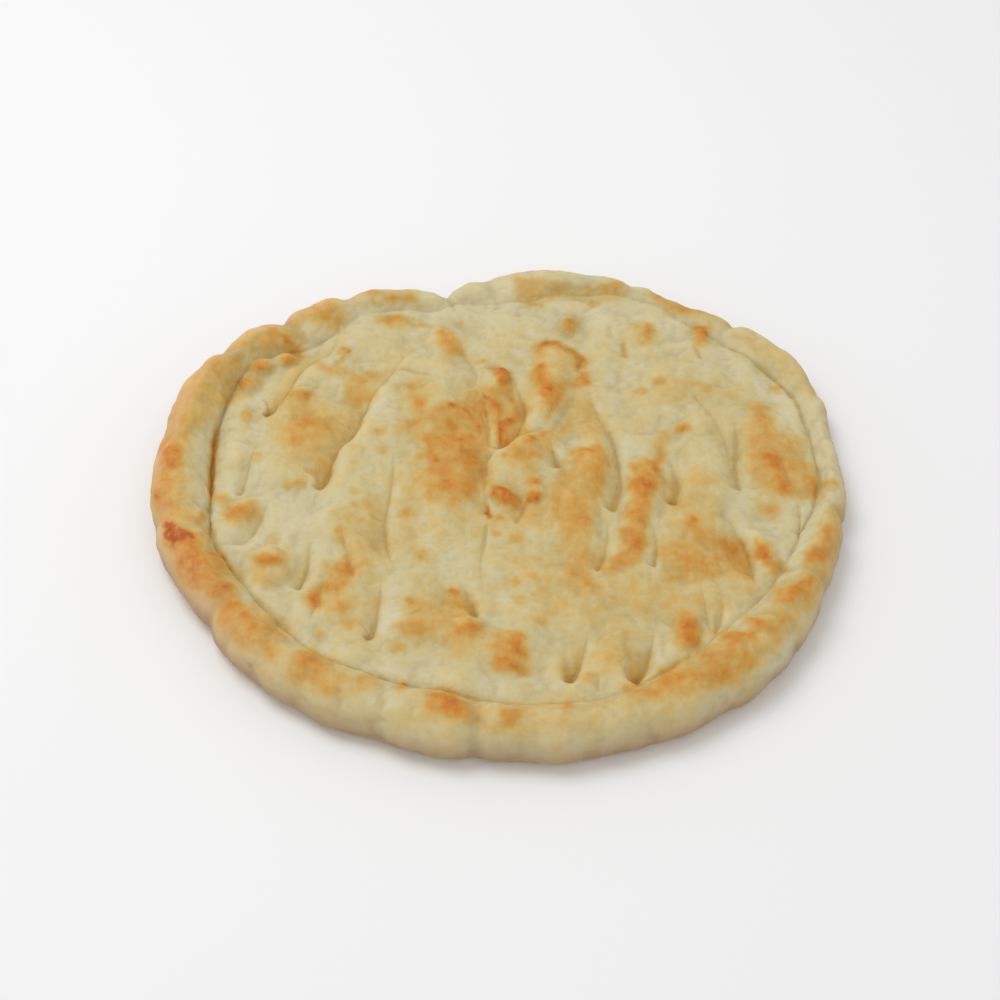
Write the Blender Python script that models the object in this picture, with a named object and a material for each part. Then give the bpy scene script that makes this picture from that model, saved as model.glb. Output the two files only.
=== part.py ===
"""A plain pizza crust: a hand-stretched round of baked dough with a thick rolled rim and a
puffy, creased middle. It lies flat on its underside.

The crust is one solid. A finely cut cube is blown up into a ball, the ball is pressed into the
rim's section and outline, and the lobes, blisters and folds of the dough are pushed into its top.

Lengths are millimetres until the mesh is written in metres. Plan places (x, y) are seen from
above, and plan angles are degrees counted from +X towards +Y.
"""

import bmesh
import bpy
import numpy as np

MM = 0.001

# The cube's cuts give the ball its points. The solid keeps this many triangles of it.
CUTS = 95
TRIANGLES = 10800

# Polar angles of the ball, from its top: the middle of the crust lies inside the first, the rim
# between the two and the underside beyond the second.
MIDDLE_END = 80.0
RIM_END = 134.0

# The middle: its height between the folds, and the width in which it sinks along the rim's foot.
MIDDLE_HEIGHT = 15.0
GUTTER_WIDTH = 1.8

# The rim's section: the height of its widest point as a share of the crest's, how far the
# underside's edge is tucked in, the share of the section above the widest point, and how much the
# inner wall leans back (1 is an ellipse's).
WAIST = 0.42
TUCK = 7.0
UPPER_SHARE = 0.7
WALL_LEAN = 1.5

# The share of the dough's ripples that shows on the rim, and the turn over its inner wall, in
# radians, in which they come up.
RIM_RIPPLES = 0.7
RIPPLE_RISE = 0.6

# The rim by stations round the crust: plan angle, outer radius, inner radius, crest height, and
# how far the middle sinks where it meets the rim (below zero, it climbs there instead).
RIM_STATIONS = (
    (-178, 153.4, 126.5, 25.5, 2.2),
    (-168, 150.8, 127.2, 25.0, 2.4),
    (-160, 147.8, 126.4, 24.0, 2.4),
    (-150, 144.8, 121.3, 23.0, 2.0),
    (-140, 145.2, 121.8, 22.5, 1.8),
    (-130, 147.2, 123.0, 22.5, 1.8),
    (-120, 146.2, 121.0, 22.0, 1.8),
    (-110, 145.3, 120.2, 21.5, 1.8),
    (-100, 146.2, 119.6, 22.0, 1.6),
    (-90, 146.0, 123.5, 21.0, 1.2),
    (-80, 148.6, 125.5, 21.0, 1.0),
    (-70, 150.3, 127.0, 21.5, 0.8),
    (-60, 150.8, 124.5, 22.5, 0.6),
    (-50, 151.7, 124.0, 23.0, 0.8),
    (-40, 151.4, 122.5, 23.5, 1.0),
    (-30, 148.3, 126.3, 23.5, 1.2),
    (-20, 147.5, 126.4, 22.5, 1.6),
    (-10, 148.2, 130.4, 20.5, 1.8),
    (0, 149.6, 136.0, 18.5, 2.0),
    (10, 150.0, 138.2, 18.0, 2.0),
    (20, 156.0, 141.2, 17.5, 2.0),
    (30, 161.2, 145.2, 18.5, 2.2),
    (40, 162.0, 140.8, 19.0, 2.2),
    (48, 157.8, 139.0, 18.0, 1.4),
    (55, 154.0, 141.5, 18.0, 0.6),
    (65, 155.8, 141.5, 19.5, 0.0),
    (73, 153.6, 138.0, 22.0, -0.5),
    (79, 152.4, 132.0, 23.0, -1.0),
    (83, 151.6, 125.0, 23.5, -1.0),
    (90, 149.2, 125.0, 21.5, -0.5),
    (97, 144.7, 125.5, 19.0, 0.0),
    (102, 137.5, 122.0, 18.0, 0.5),
    (108, 143.2, 126.5, 20.0, 0.0),
    (115, 151.8, 132.0, 21.5, -0.5),
    (123, 155.0, 129.0, 22.0, 0.6),
    (135, 155.8, 129.5, 23.0, 0.8),
    (142, 158.3, 138.6, 23.5, 0.8),
    (150, 159.8, 139.2, 25.0, 0.8),
    (160, 158.5, 134.5, 25.5, 1.8),
    (170, 154.6, 129.5, 25.5, 2.2),
)
STATION_SMOOTHING = 2.2

# Pinches across the rim, where one roll of dough meets the next: angle, half width, depth.
RIM_PINCHES = (
    (147.5, 2.2, 2.6),
    (134.0, 2.0, 3.0),
    (120.5, 2.4, 2.6),
    (102.0, 1.6, 2.0),
    (93.5, 2.0, 0.9),
    (66.0, 1.4, 1.0),
    (59.5, 1.6, 1.4),
    (45.0, 1.5, 2.6),
    (-7.0, 2.0, 1.6),
    (-24.0, 2.0, 1.2),
    (-38.0, 2.4, 1.2),
    (-54.0, 2.4, 0.7),
    (-67.0, 2.0, 0.7),
    (-94.5, 1.4, 1.6),
    (-110.0, 2.0, 0.9),
    (-117.0, 2.2, 0.6),
    (-126.0, 2.6, 1.0),
    (-147.0, 2.0, 1.4),
    (-171.0, 1.8, 1.8),
)

# Lobes and blisters of the middle: x, y, half length, half width, turn of the length, height.
LOBES = (
    (-90, 36, 50, 22, 84, 3.8),
    (-118, 25, 48, 9, 88, 2.5),
    (-110, 80, 20, 9, 42, 2.4),
    (-113, -22, 17, 10, 60, 3.8),
    (-98, -50, 17, 12, 70, 3.0),
    (-68, -30, 55, 15, 88, 3.2),
    (-28, 28, 62, 19, 92, 4.5),
    (-62, 62, 24, 14, 70, 3.0),
    (-60, 104, 20, 14, 10, 3.2),
    (-27, 98, 20, 9, 95, 2.2),
    (5, 108, 24, 20, 0, 2.0),
    (8, 15, 24, 14, 80, 3.5),
    (24, 80, 20, 14, 80, 3.8),
    (-4, 67, 16, 9, 75, 2.8),
    (20, 57, 22, 12, 76, 2.8),
    (38, 16, 24, 12, 88, 3.8),
    (30, -22, 30, 12, 92, 2.8),
    (60, -8, 34, 10, 82, 4.2),
    (88, 16, 40, 12, 92, 2.8),
    (74, 64, 24, 15, 66, 3.0),
    (118, 12, 48, 15, 92, 4.5),
    (82, -34, 26, 18, 84, 3.8),
    (108, -42, 18, 7, 108, 2.2),
    (73, -88, 18, 8, 70, 3.2),
    (42, -100, 17, 9, 80, 2.5),
    (-28, -80, 22, 13, 0, 2.5),
    (3, -95, 24, 16, 80, 2.2),
    (-75, -72, 18, 14, 80, 2.0),
    (68, 108, 22, 14, 10, 2.2),
    (38, 122, 13, 8, -10, 2.2),
)
BLISTERS = (
    (-111, 80, 7, 6, 0, 2.6),
    (-100, 85, 6, 5, 0, 2.0),
    (-116, 67, 6, 5, 0, 1.4),
    (-91, 59, 7, 3.5, 10, 1.4),
    (-112, -15, 8, 5.5, -20, 1.8),
    (-98, -45, 7, 6.5, 0, 1.8),
    (-90, 1, 5, 4, 0, 1.0),
    (0, 74, 8, 5, 100, 1.8),
    (1, -7, 8.5, 6, -45, 3.0),
    (13.5, -6, 7, 4.5, 70, 2.4),
    (14, 3, 4, 3.5, 0, 1.2),
    (31, 111, 7, 4.5, 90, 1.6),
    (67, 106, 7, 4, 100, 1.2),
    (93, 104, 7.5, 4, 80, 1.6),
    (80, 38, 5.5, 5, 0, 1.2),
    (-15, -83, 7, 5, 0, 1.4),
)

# Folds of the middle: depth, width of the soft bank, width of the steep bank, the lengths over
# which the fold deepens at its start and shallows at its end, then the places that it runs
# through. The soft bank lies on the right hand of someone who walks along it, and the edge of a
# puffy lobe bulges up on the left.
FOLDS = (
    (5.6, 18, 5, 90, 4, ((-38, 110), (-39.5, 98), (-43.5, 89), (-50, 79), (-54, 70), (-59.5, 59),
                         (-64, 45), (-65.5, 36), (-71, 29), (-75, 18), (-77, 8), (-77.5, 1),
                         (-80, -1.5), (-83.5, -1))),
    (5.0, 16, 6, 40, 4, ((-75, 108), (-78, 97), (-81, 89), (-88, 84), (-94, 77), (-97, 65), (-101, 55),
                         (-105, 47), (-109, 48.5))),
    (1.2, 4, 4, 6, 6, ((-86, 60), (-91, 61.5), (-97, 58))),
    (1.9, 8, 6, 44, 3, ((-107, 44), (-110, 22), (-112, 4), (-113, -4), (-116, -7))),
    (2.8, 14, 5, 30, 12, ((-49, 26), (-48, 10), (-49.5, -10), (-51, -26), (-49.5, -36), (-47, -48))),
    (3.4, 10, 4, 34, 3, ((-51, -50), (-50.5, -64), (-52, -80), (-53, -90), (-57, -89))),
    (1.0, 4, 4, 4, 3, ((-58, -17), (-54, -20.5), (-50, -20))),
    (3.0, 15, 9, 22, 8, ((-11, 68), (-8, 54), (-7, 40), (-6, 24))),
    (3.0, 10, 4, 5, 22, ((-4, 22), (-7.5, 15), (-8.3, 4), (-8, -8))),
    (3.8, 8, 4, 18, 3, ((-8, -2), (-7.5, -12), (-5.5, -19.5))),
    (3.0, 6, 5, 16, 3, ((22, 38), (12, 35.5), (5, 30), (0, 24.5), (-2, 23))),
    (0.8, 4, 4, 8, 3, ((1.5, 58), (-0.5, 44), (0, 25))),
    (4.2, 20, 6, 40, 4, ((3, 82), (5.5, 70), (8, 58), (9.5, 47), (8, 37), (2, 28), (-4, 21))),
    (1.9, 4, 4, 16, 6, ((6.5, 60), (4, 68), (2, 75), (-1, 78.8), (-5, 80.4), (-11, 80.5))),
    (1.6, 5, 4, 8, 8, ((38.5, 80), (38, 86), (34.5, 90.5), (30, 93.5), (26, 96.5), (20, 97.7), (13, 93))),
    (1.6, 3, 3, 6, 3, ((37.5, 86), (35.3, 80), (34, 74))),
    (4.4, 9, 5, 18, 3, ((21, 33), (22.5, 22), (25, 10))),
    (3.8, 12, 5, 90, 4, ((34, 88), (37.5, 74), (39.5, 60), (42, 48), (46, 37), (50, 25), (51.5, 8),
                         (50, -6), (46.5, -17))),
    (4.2, 10, 4, 34, 4, ((73, 24), (75.5, 4), (75, -6), (73, -14))),
    (1.3, 12, 7, 18, 8, ((80, 70), (88, 58), (94, 46), (98, 34), (100.5, 22))),
    (2.8, 9, 5, 30, 3, ((101, 50), (104, 40), (103.8, 28), (102.3, 14), (102, 4), (103, -4))),
    (3.4, 14, 6, 34, 10, ((94, -8), (97.5, -22), (102, -38), (103, -50), (104, -62))),
    (3.2, 13, 5, 30, 4, ((45, -16), (44.5, -28), (43.5, -37), (41.5, -46), (38.5, -53))),
    (3.2, 11, 4, 32, 3, ((61, -18), (64.5, -30), (65, -38), (63, -51))),
    (2.0, 6, 5, 6, 3, ((10, -9), (8, -18), (5, -25))),
    (7.0, 12, 5, 34, 3, ((35, -84), (33.5, -94), (31, -102), (28.5, -109), (25, -115))),
    (7.4, 13, 6, 36, 3, ((62, -80), (60.5, -91), (58, -101), (55, -108), (51, -115))),
    (1.0, 5, 4, 12, 6, ((81, -58), (83, -74), (84, -90))),
    (2.6, 7, 5, 20, 3, ((91, -60), (90, -72), (87.5, -82), (85.5, -89))),
    (1.6, 6, 5, 14, 18, ((-101, -8), (-102, -18), (-105, -27), (-107.5, -34), (-112, -36.5), (-120, -38))),
    (4.6, 12, 4, 34, 3, ((-82, -28), (-81.7, -46), (-83, -57), (-85, -64))),
    (1.4, 8, 6, 18, 6, ((-22, 106), (-18.5, 90), (-14, 82), (-12, 76), (-13, 70), (-16, 64))),
    (1.0, 5, 4, 6, 8, ((-51, 78), (-44, 78), (-38, 75), (-30, 70.5))),
    (3.6, 10, 4, 18, 4, ((-18, -58), (-14, -68), (-10, -80))),
    (1.5, 11, 8, 8, 12, ((-6.5, -21), (-8, -34), (-9.5, -48), (-9, -62))),
    (1.5, 9, 6, 10, 8, ((-69, -24), (-67, -40), (-63, -52), (-61, -62))),
    (2.0, 9, 6, 8, 6, ((-75, -56), (-75, -68), (-79, -82))),
    (1.5, 6, 4, 10, 6, ((57, 102), (56.5, 94), (57.5, 87), (60.5, 86))),
    (0.5, 12, 8, 20, 20, ((132, 36), (124, 48), (115, 56), (108, 66), (100, 78), (90, 82), (80, 85),
                          (70, 83))),
    (0.6, 6, 4, 8, 8, ((-50, 84), (-60, 86), (-73, 83))),
    (1.4, 6, 5, 8, 4, ((88, 98), (91, 91), (93, 83.5))),
    (1.2, 6, 5, 8, 4, ((121, 13), (124, 4), (125.5, -5))),
    (1.8, 6, 6, 12, 5, ((127, -8), (127.5, -20), (125, -34))),
    (1.2, 5, 5, 5, 5, ((38, -110), (37, -120))),
    (0.8, 4, 4, 4, 4, ((-41, -80.5), (-37, -78.5), (-32, -74))),
)

# The half width of a fold's rounded floor, and how far the lobe's edge stands up beside it, as a
# share of the depth.
FOLD_FLOOR = 0.6
FOLD_LIP = 0.2

# The soft bank narrows to this share of its width at a fold's end, along a curve of this power.
FOLD_TIP = 0.25
FOLD_POINT = 0.6

# The slow unevenness of hand-worked dough: wavelength and height of each layer of ripples.
RIPPLES = ((46.0, 0.8), (23.0, 0.65))
WAVES = 7
RIPPLE_SEED = 4

DOUGH_COLOR = (0.62, 0.47, 0.22, 1.0)
DOUGH_ROUGHNESS = 0.75


def clear_scene():
    for obj in list(bpy.data.objects):
        bpy.data.objects.remove(obj)


def smoothstep(value):
    t = np.clip(value, 0.0, 1.0)
    return t * t * (3 - 2 * t)


def ball_points(bm):
    """The cube's points moved out to a ball of radius 1, evenly spread."""
    points = np.array([vert.co for vert in bm.verts])
    points = np.tan(points * np.pi / 4)
    return points / np.linalg.norm(points, axis=1)[:, None]


def round_trip(column):
    """A station's value at every degree round the crust, smoothed from one station to the next."""
    degrees = np.arange(360)
    angles, values = np.array([(row[0] % 360, row[column]) for row in RIM_STATIONS]).T
    straight = np.interp(degrees, np.sort(angles), values[np.argsort(angles)], period=360)
    away = np.minimum(degrees, 360 - degrees)
    kernel = np.exp(-0.5 * (away / STATION_SMOOTHING) ** 2)
    kernel /= kernel.sum()
    return np.fft.ifft(np.fft.fft(straight) * np.fft.fft(kernel)).real


def around(column, angle):
    return np.interp(angle % 360, np.arange(360), round_trip(column), period=360)


def pinch(angle):
    """How deeply the rim is pinched in at each angle."""
    total = np.zeros_like(angle)
    for place, half_width, depth in RIM_PINCHES:
        away = (angle - place + 180) % 360 - 180
        total += depth * np.exp(-((away / half_width) ** 2))
    return total


def bump(x, y, place):
    """A round or long swelling that ends smoothly at its own edge."""
    centre_x, centre_y, half_length, half_width, turn, height = place
    turn = np.radians(turn)
    along = (x - centre_x) * np.cos(turn) + (y - centre_y) * np.sin(turn)
    across = (y - centre_y) * np.cos(turn) - (x - centre_x) * np.sin(turn)
    inside = np.clip(1 - (along / half_length) ** 2 - (across / half_width) ** 2, 0, None)
    return height * inside**1.5


def rounded_path(corners):
    """The corners of a path cut off twice, so that it bends softly."""
    path = np.array(corners, float)
    for _ in range(2):
        starts, ends = path[:-1], path[1:]
        cut = np.stack([0.75 * starts + 0.25 * ends, 0.25 * starts + 0.75 * ends], axis=1)
        path = np.vstack([path[:1], cut.reshape(-1, 2)[1:-1], path[-1:]])
    return path


def nearest_on_path(x, y, path):
    """Distance to the path, which side of it a point is on (-1 to 1), and lengths before and after."""
    steps = np.diff(path, axis=0)
    lengths = np.linalg.norm(steps, axis=1)
    before = np.concatenate([[0], np.cumsum(lengths)])
    distance = np.full(x.shape, np.inf)
    side = np.zeros_like(x)
    done = np.zeros_like(x)
    for start, step, length, run in zip(path[:-1], steps, lengths, before):
        unit = step / length
        from_x, from_y = x - start[0], y - start[1]
        reach = np.clip(from_x * unit[0] + from_y * unit[1], 0, length)
        away = np.hypot(from_x - reach * unit[0], from_y - reach * unit[1])
        cross = (unit[0] * from_y - unit[1] * from_x) / np.maximum(away, 1e-6)
        closer = away < distance
        distance = np.where(closer, away, distance)
        side = np.where(closer, cross, side)
        done = np.where(closer, run + reach, done)
    return distance, side, done, before[-1] - done


def fold(x, y, depth, soft, steep, start, end, corners):
    """The dip of one fold: a soft slope on one side and the bulging edge of a lobe on the other."""
    path = rounded_path(corners)
    distance, side, done, left = nearest_on_path(x, y, path)
    soft_here = soft * (FOLD_TIP + (1 - FOLD_TIP) * np.clip(left / soft, 0, 1) ** FOLD_POINT)
    width = soft_here + (steep - soft_here) * (0.5 + 0.5 * side)
    t = np.clip((np.hypot(distance, FOLD_FLOOR) - FOLD_FLOOR) / width, 0, 1)
    slope, bulge = (1 - t) ** 2, 1 - np.sqrt(t * (2 - t))
    bank = slope + (bulge - slope) * (0.5 + 0.5 * side)
    lip = FOLD_LIP * np.clip(side, 0, 1) * np.exp(-(((distance - steep) / steep) ** 2))
    ends = smoothstep(done / start) * smoothstep(left / end)
    return -depth * ends * (bank - lip)


def reach_of(fold_row):
    """The plan box that one fold can change."""
    _, soft, steep, _, _, corners = fold_row
    corners = np.array(corners)
    margin = soft + 2 * steep
    return corners.min(axis=0) - margin, corners.max(axis=0) + margin


def folds(x, y):
    total = np.zeros_like(x)
    for row in FOLDS:
        low, high = reach_of(row)
        near = (x > low[0]) & (x < high[0]) & (y > low[1]) & (y < high[1])
        total[near] += fold(x[near], y[near], *row)
    return total


def ripples(x, y):
    """Waves of a few lengths in mixed directions, which never line up."""
    draw = np.random.default_rng(RIPPLE_SEED)
    total = np.zeros_like(x)
    for wavelength, height in RIPPLES:
        for turn, phase in draw.uniform(0, 2 * np.pi, (WAVES, 2)):
            run = (x * np.cos(turn) + y * np.sin(turn)) * 2 * np.pi / wavelength
            total += height / np.sqrt(WAVES) * np.cos(run + phase)
    return total


def middle_height(x, y):
    """Height of the middle's top above the underside."""
    lobes = sum(bump(x, y, place) for place in LOBES + BLISTERS)
    return MIDDLE_HEIGHT + lobes + folds(x, y) + ripples(x, y)


def rim_numbers(angle):
    """Outer and inner radius, crest and sunk foot at each angle, with the pinches taken off."""
    pinched = pinch(angle)
    outer = around(1, angle) - pinched
    inner = around(2, angle)
    crest = around(3, angle) - 0.8 * pinched
    return outer, inner, crest, around(4, angle)


def across_section(turn):
    """Place across the rim's section at a turn round it: 1 at its outer side, -1 at its inner."""
    across = np.cos(turn)
    return np.where(across < 0, -(np.abs(across) ** WALL_LEAN), across)


def rim_foot(angle):
    """Where the rim meets the middle at each angle: its turn round the section, radius, height."""
    outer, inner, crest, sunk = rim_numbers(angle)
    waist = WAIST * crest
    turn = np.radians(angle)
    height = middle_height(inner * np.cos(turn), inner * np.sin(turn)) - sunk
    height = np.clip(height, waist + 0.5, crest - 2)
    foot_turn = np.pi - np.arcsin((height - waist) / (crest - waist))
    radius = (outer + inner) / 2 + (outer - inner) / 2 * across_section(foot_turn)
    return foot_turn, radius, height


def crust_points(ball):
    """The ball's points moved to the surface of the crust, in millimetres."""
    polar = np.degrees(np.arccos(np.clip(ball[:, 2], -1, 1)))
    angle = np.degrees(np.arctan2(ball[:, 1], ball[:, 0]))
    cos_angle, sin_angle = np.cos(np.radians(angle)), np.sin(np.radians(angle))
    outer, inner, crest, sunk = rim_numbers(angle)
    waist = WAIST * crest
    centre, half = (outer + inner) / 2, (outer - inner) / 2
    foot_turn, foot, foot_height = rim_foot(angle)

    share = np.clip(np.sin(np.radians(polar) / 2) / np.sin(np.radians(MIDDLE_END) / 2), 0, 1)
    x, y = foot * share * cos_angle, foot * share * sin_angle
    gutter = np.exp(-(foot - foot * share) / GUTTER_WIDTH)
    top = middle_height(x, y) - sunk * gutter
    middle = np.stack([foot * share, top + (foot_height - top) * gutter**2], axis=1)

    section = np.clip((polar - MIDDLE_END) / (RIM_END - MIDDLE_END), 0, 1)
    upper = foot_turn * (1 - np.clip(section / UPPER_SHARE, 0, 1))
    lower = np.pi / 2 * np.clip((section - UPPER_SHARE) / (1 - UPPER_SHARE), 0, 1)
    push = RIM_RIPPLES * ripples(outer * cos_angle, outer * sin_angle)
    push *= smoothstep((foot_turn - upper) / RIPPLE_RISE)
    over_radius = centre + (half + push) * across_section(upper)
    over_height = waist + (crest - waist + push) * np.sin(upper)
    over = np.stack([over_radius, over_height], axis=1)
    under_radius = outer - TUCK + (TUCK + push) * np.cos(lower)
    under = np.stack([under_radius, waist * (1 - np.sin(lower))], axis=1)

    inward = np.cos(np.radians(polar) / 2) / np.cos(np.radians(RIM_END) / 2)
    base = np.stack([(outer - TUCK) * np.clip(inward, 0, 1), np.zeros_like(polar)], axis=1)

    zone = np.select([polar < MIDDLE_END, section < UPPER_SHARE, polar < RIM_END], [0, 1, 2], 3)
    radius, height = np.choose(zone[:, None], [middle, over, under, base]).T
    return np.stack([radius * cos_angle, radius * sin_angle, height], axis=1)


def centred(points):
    """The points moved over the origin, by the middle of their box, with the underside at zero."""
    low, high = points.min(axis=0), points.max(axis=0)
    return points - [(low[0] + high[0]) / 2, (low[1] + high[1]) / 2, low[2]]


def dough_material():
    material = bpy.data.materials.new("baked_dough")
    material.use_nodes = True
    shader = material.node_tree.nodes["Principled BSDF"]
    shader.inputs["Base Color"].default_value = DOUGH_COLOR
    shader.inputs["Roughness"].default_value = DOUGH_ROUGHNESS
    shader.inputs["Metallic"].default_value = 0.0
    material.diffuse_color = DOUGH_COLOR
    return material


def fine_crust():
    """The crust's surface with every point of the ball."""
    bm = bmesh.new()
    bmesh.ops.create_cube(bm, size=2)
    bmesh.ops.subdivide_edges(bm, edges=bm.edges[:], cuts=CUTS, use_grid_fill=True)
    bmesh.ops.triangulate(bm, faces=bm.faces[:])
    points = crust_points(ball_points(bm)) * MM
    for vert, point in zip(bm.verts, points):
        vert.co = point
    mesh = bpy.data.meshes.new("crust_surface")
    bm.to_mesh(mesh)
    bm.free()
    return mesh


def write_points(mesh, points):
    mesh.vertices.foreach_set("co", points.astype(np.float32).ravel())
    mesh.update()


def make_crust(collection):
    surface = fine_crust()
    crust = bpy.data.objects.new("crust", surface)
    collection.objects.link(crust)
    thinning = crust.modifiers.new("thinning", "DECIMATE")
    thinning.ratio = TRIANGLES / len(surface.polygons)
    evaluated = crust.evaluated_get(bpy.context.evaluated_depsgraph_get())
    crust.data = bpy.data.meshes.new_from_object(evaluated)
    crust.modifiers.clear()
    bpy.data.meshes.remove(surface)

    points = np.array([vert.co for vert in crust.data.vertices])
    write_points(crust.data, centred(points))
    crust.data.name = "crust"
    crust.data.shade_smooth()
    crust.data.materials.append(dough_material())
    return crust


def main():
    clear_scene()
    collection = bpy.data.collections.new("pizza_crust")
    bpy.context.scene.collection.children.link(collection)
    make_crust(collection)


main()
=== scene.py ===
"""A baked pizza crust without topping, dressed for its picture: the finely modelled dough, its
browning, a pale floor, soft light and the camera.

The crust is the same shape as the solid that it stands for, cut finer, with the small blisters,
creases and skin of the dough added. Lengths are millimetres until the mesh is written in metres.
Plan places (x, y) are seen from above, and plan angles are degrees counted from +X towards +Y.
"""

import bmesh
import bpy
import numpy as np
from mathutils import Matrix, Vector, noise


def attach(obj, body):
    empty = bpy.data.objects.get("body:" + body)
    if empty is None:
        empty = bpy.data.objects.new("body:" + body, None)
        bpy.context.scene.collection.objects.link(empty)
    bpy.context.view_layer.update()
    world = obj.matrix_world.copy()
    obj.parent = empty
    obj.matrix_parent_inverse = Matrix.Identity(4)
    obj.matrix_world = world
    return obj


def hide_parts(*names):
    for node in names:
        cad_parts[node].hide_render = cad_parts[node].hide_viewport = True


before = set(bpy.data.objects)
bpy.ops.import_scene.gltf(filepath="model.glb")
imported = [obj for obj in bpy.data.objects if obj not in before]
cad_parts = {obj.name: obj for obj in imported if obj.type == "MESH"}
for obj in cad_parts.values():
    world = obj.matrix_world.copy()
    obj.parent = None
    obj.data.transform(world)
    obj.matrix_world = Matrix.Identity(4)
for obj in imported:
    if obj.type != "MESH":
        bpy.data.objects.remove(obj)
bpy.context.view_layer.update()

# A millimetre, in metres.
MM = 0.001

# Cuts along each edge of the cube that becomes the ball.
CUTS = 107

# Polar angles of the ball, from its top: the middle of the crust lies inside the first, the rim
# between the two and the underside beyond the second.
MIDDLE_END = 100.0
RIM_END = 146.0

# The middle: its height between the folds, and the width in which it sinks along the rim's foot.
MIDDLE_HEIGHT = 15.0
GUTTER_WIDTH = 1.8

# The rim's section: the height of its widest point as a share of the crest's, how far the
# underside's edge is tucked in, the share of the section above the widest point, and how much the
# inner wall leans back (1 is an ellipse's).
WAIST = 0.42
TUCK = 7.0
UPPER_SHARE = 0.7
WALL_LEAN = 1.5

# The rim's foot stays this far above the widest point and this far below the crest.
FOOT_OVER_WAIST = 0.5
FOOT_UNDER_CREST = 2

# The share of the dough's ripples that shows on the rim, and the turn over its inner wall, in
# radians, in which they come up.
RIM_RIPPLES = 0.7
RIPPLE_RISE = 0.6

# The rim by stations round the crust: plan angle, outer radius, inner radius, crest height, and
# how far the middle sinks where it meets the rim (below zero, it climbs there instead).
RIM_STATIONS = (
    (-178, 153.4, 126.5, 25.5, 2.2), (-168, 150.8, 127.2, 25, 2.4), (-160, 147.8, 126.4, 24, 2.4),
    (-150, 144.8, 121.3, 23, 2), (-140, 145.2, 121.8, 22.5, 1.8), (-130, 147.2, 123, 22.5, 1.8),
    (-120, 146.2, 121, 22, 1.8), (-110, 145.3, 120.2, 21.5, 1.8), (-100, 146.2, 119.6, 22, 1.6),
    (-90, 146, 123.5, 21, 1.2), (-80, 148.6, 125.5, 21, 1), (-70, 150.3, 127, 21.5, 0.8),
    (-60, 150.8, 124.5, 22.5, 0.6), (-50, 151.7, 124, 23, 0.8), (-40, 151.4, 122.5, 23.5, 1),
    (-30, 148.3, 126.3, 23.5, 1.2), (-20, 147.5, 126.4, 22.5, 1.6), (-10, 148.2, 130.4, 20.5, 1.8),
    (0, 149.6, 136, 18.5, 2), (10, 150, 138.2, 18, 2), (20, 156, 141.2, 17.5, 2),
    (30, 161.2, 145.2, 18.5, 2.2), (40, 162, 140.8, 19, 2.2), (48, 157.8, 139, 18, 1.4),
    (55, 154, 141.5, 18, 0.6), (65, 155.8, 141.5, 19.5, 0), (73, 153.6, 138, 22, -0.5),
    (79, 152.4, 132, 23, -1), (83, 151.6, 125, 23.5, -1), (90, 149.2, 125, 21.5, -0.5),
    (97, 144.7, 125.5, 19, 0), (102, 137.5, 122, 18, 0.5), (108, 143.2, 126.5, 20, 0),
    (115, 151.8, 132, 21.5, -0.5), (123, 155, 129, 22, 0.6), (135, 155.8, 129.5, 23, 0.8),
    (142, 158.3, 138.6, 23.5, 0.8), (150, 159.8, 139.2, 25, 0.8), (160, 158.5, 134.5, 25.5, 1.8),
    (170, 154.6, 129.5, 25.5, 2.2),
)

# The columns of these numbers, and the degrees over which a number runs smoothly into the next.
OUTER, INNER, CREST, SUNK = 1, 2, 3, 4
STATION_SMOOTHING = 2.2

# Pinches across the rim, where one roll of dough meets the next: angle, half width, depth. The
# crest drops by this share of the depth.
RIM_PINCHES = (
    (147.5, 2.2, 2.6), (134, 2, 3), (120.5, 2.4, 2.6), (102, 1.6, 2), (93.5, 2, 0.9), (66, 1.4, 1),
    (59.5, 1.6, 1.4), (45, 1.5, 2.6), (-7, 2, 1.6), (-24, 2, 1.2), (-38, 2.4, 1.2), (-54, 2.4, 0.7),
    (-67, 2, 0.7), (-94.5, 1.4, 1.6), (-110, 2, 0.9), (-117, 2.2, 0.6), (-126, 2.6, 1), (-147, 2, 1.4),
    (-171, 1.8, 1.8),
)
CREST_PINCH = 0.8

# Lobes and blisters of the middle: x, y, half length, half width, turn of the length, height. They
# rise from their edges along a curve of this power.
LOBES = (
    (-90, 36, 50, 22, 84, 3.8), (-118, 25, 48, 9, 88, 2.5), (-110, 80, 20, 9, 42, 2.4),
    (-113, -22, 17, 10, 60, 3.8), (-98, -50, 17, 12, 70, 3), (-68, -30, 55, 15, 88, 3.2),
    (-28, 28, 62, 19, 92, 4.5), (-62, 62, 24, 14, 70, 3), (-60, 104, 20, 14, 10, 3.2),
    (-27, 98, 20, 9, 95, 2.2), (5, 108, 24, 20, 0, 2), (8, 15, 24, 14, 80, 3.5),
    (24, 80, 20, 14, 80, 3.8), (-4, 67, 16, 9, 75, 2.8), (20, 57, 22, 12, 76, 2.8),
    (38, 16, 24, 12, 88, 3.8), (30, -22, 30, 12, 92, 2.8), (60, -8, 34, 10, 82, 4.2),
    (88, 16, 40, 12, 92, 2.8), (74, 64, 24, 15, 66, 3), (118, 12, 48, 15, 92, 4.5),
    (82, -34, 26, 18, 84, 3.8), (108, -42, 18, 7, 108, 2.2), (73, -88, 18, 8, 70, 3.2),
    (42, -100, 17, 9, 80, 2.5), (-28, -80, 22, 13, 0, 2.5), (3, -95, 24, 16, 80, 2.2),
    (-75, -72, 18, 14, 80, 2), (68, 108, 22, 14, 10, 2.2), (38, 122, 13, 8, -10, 2.2),
)
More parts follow.
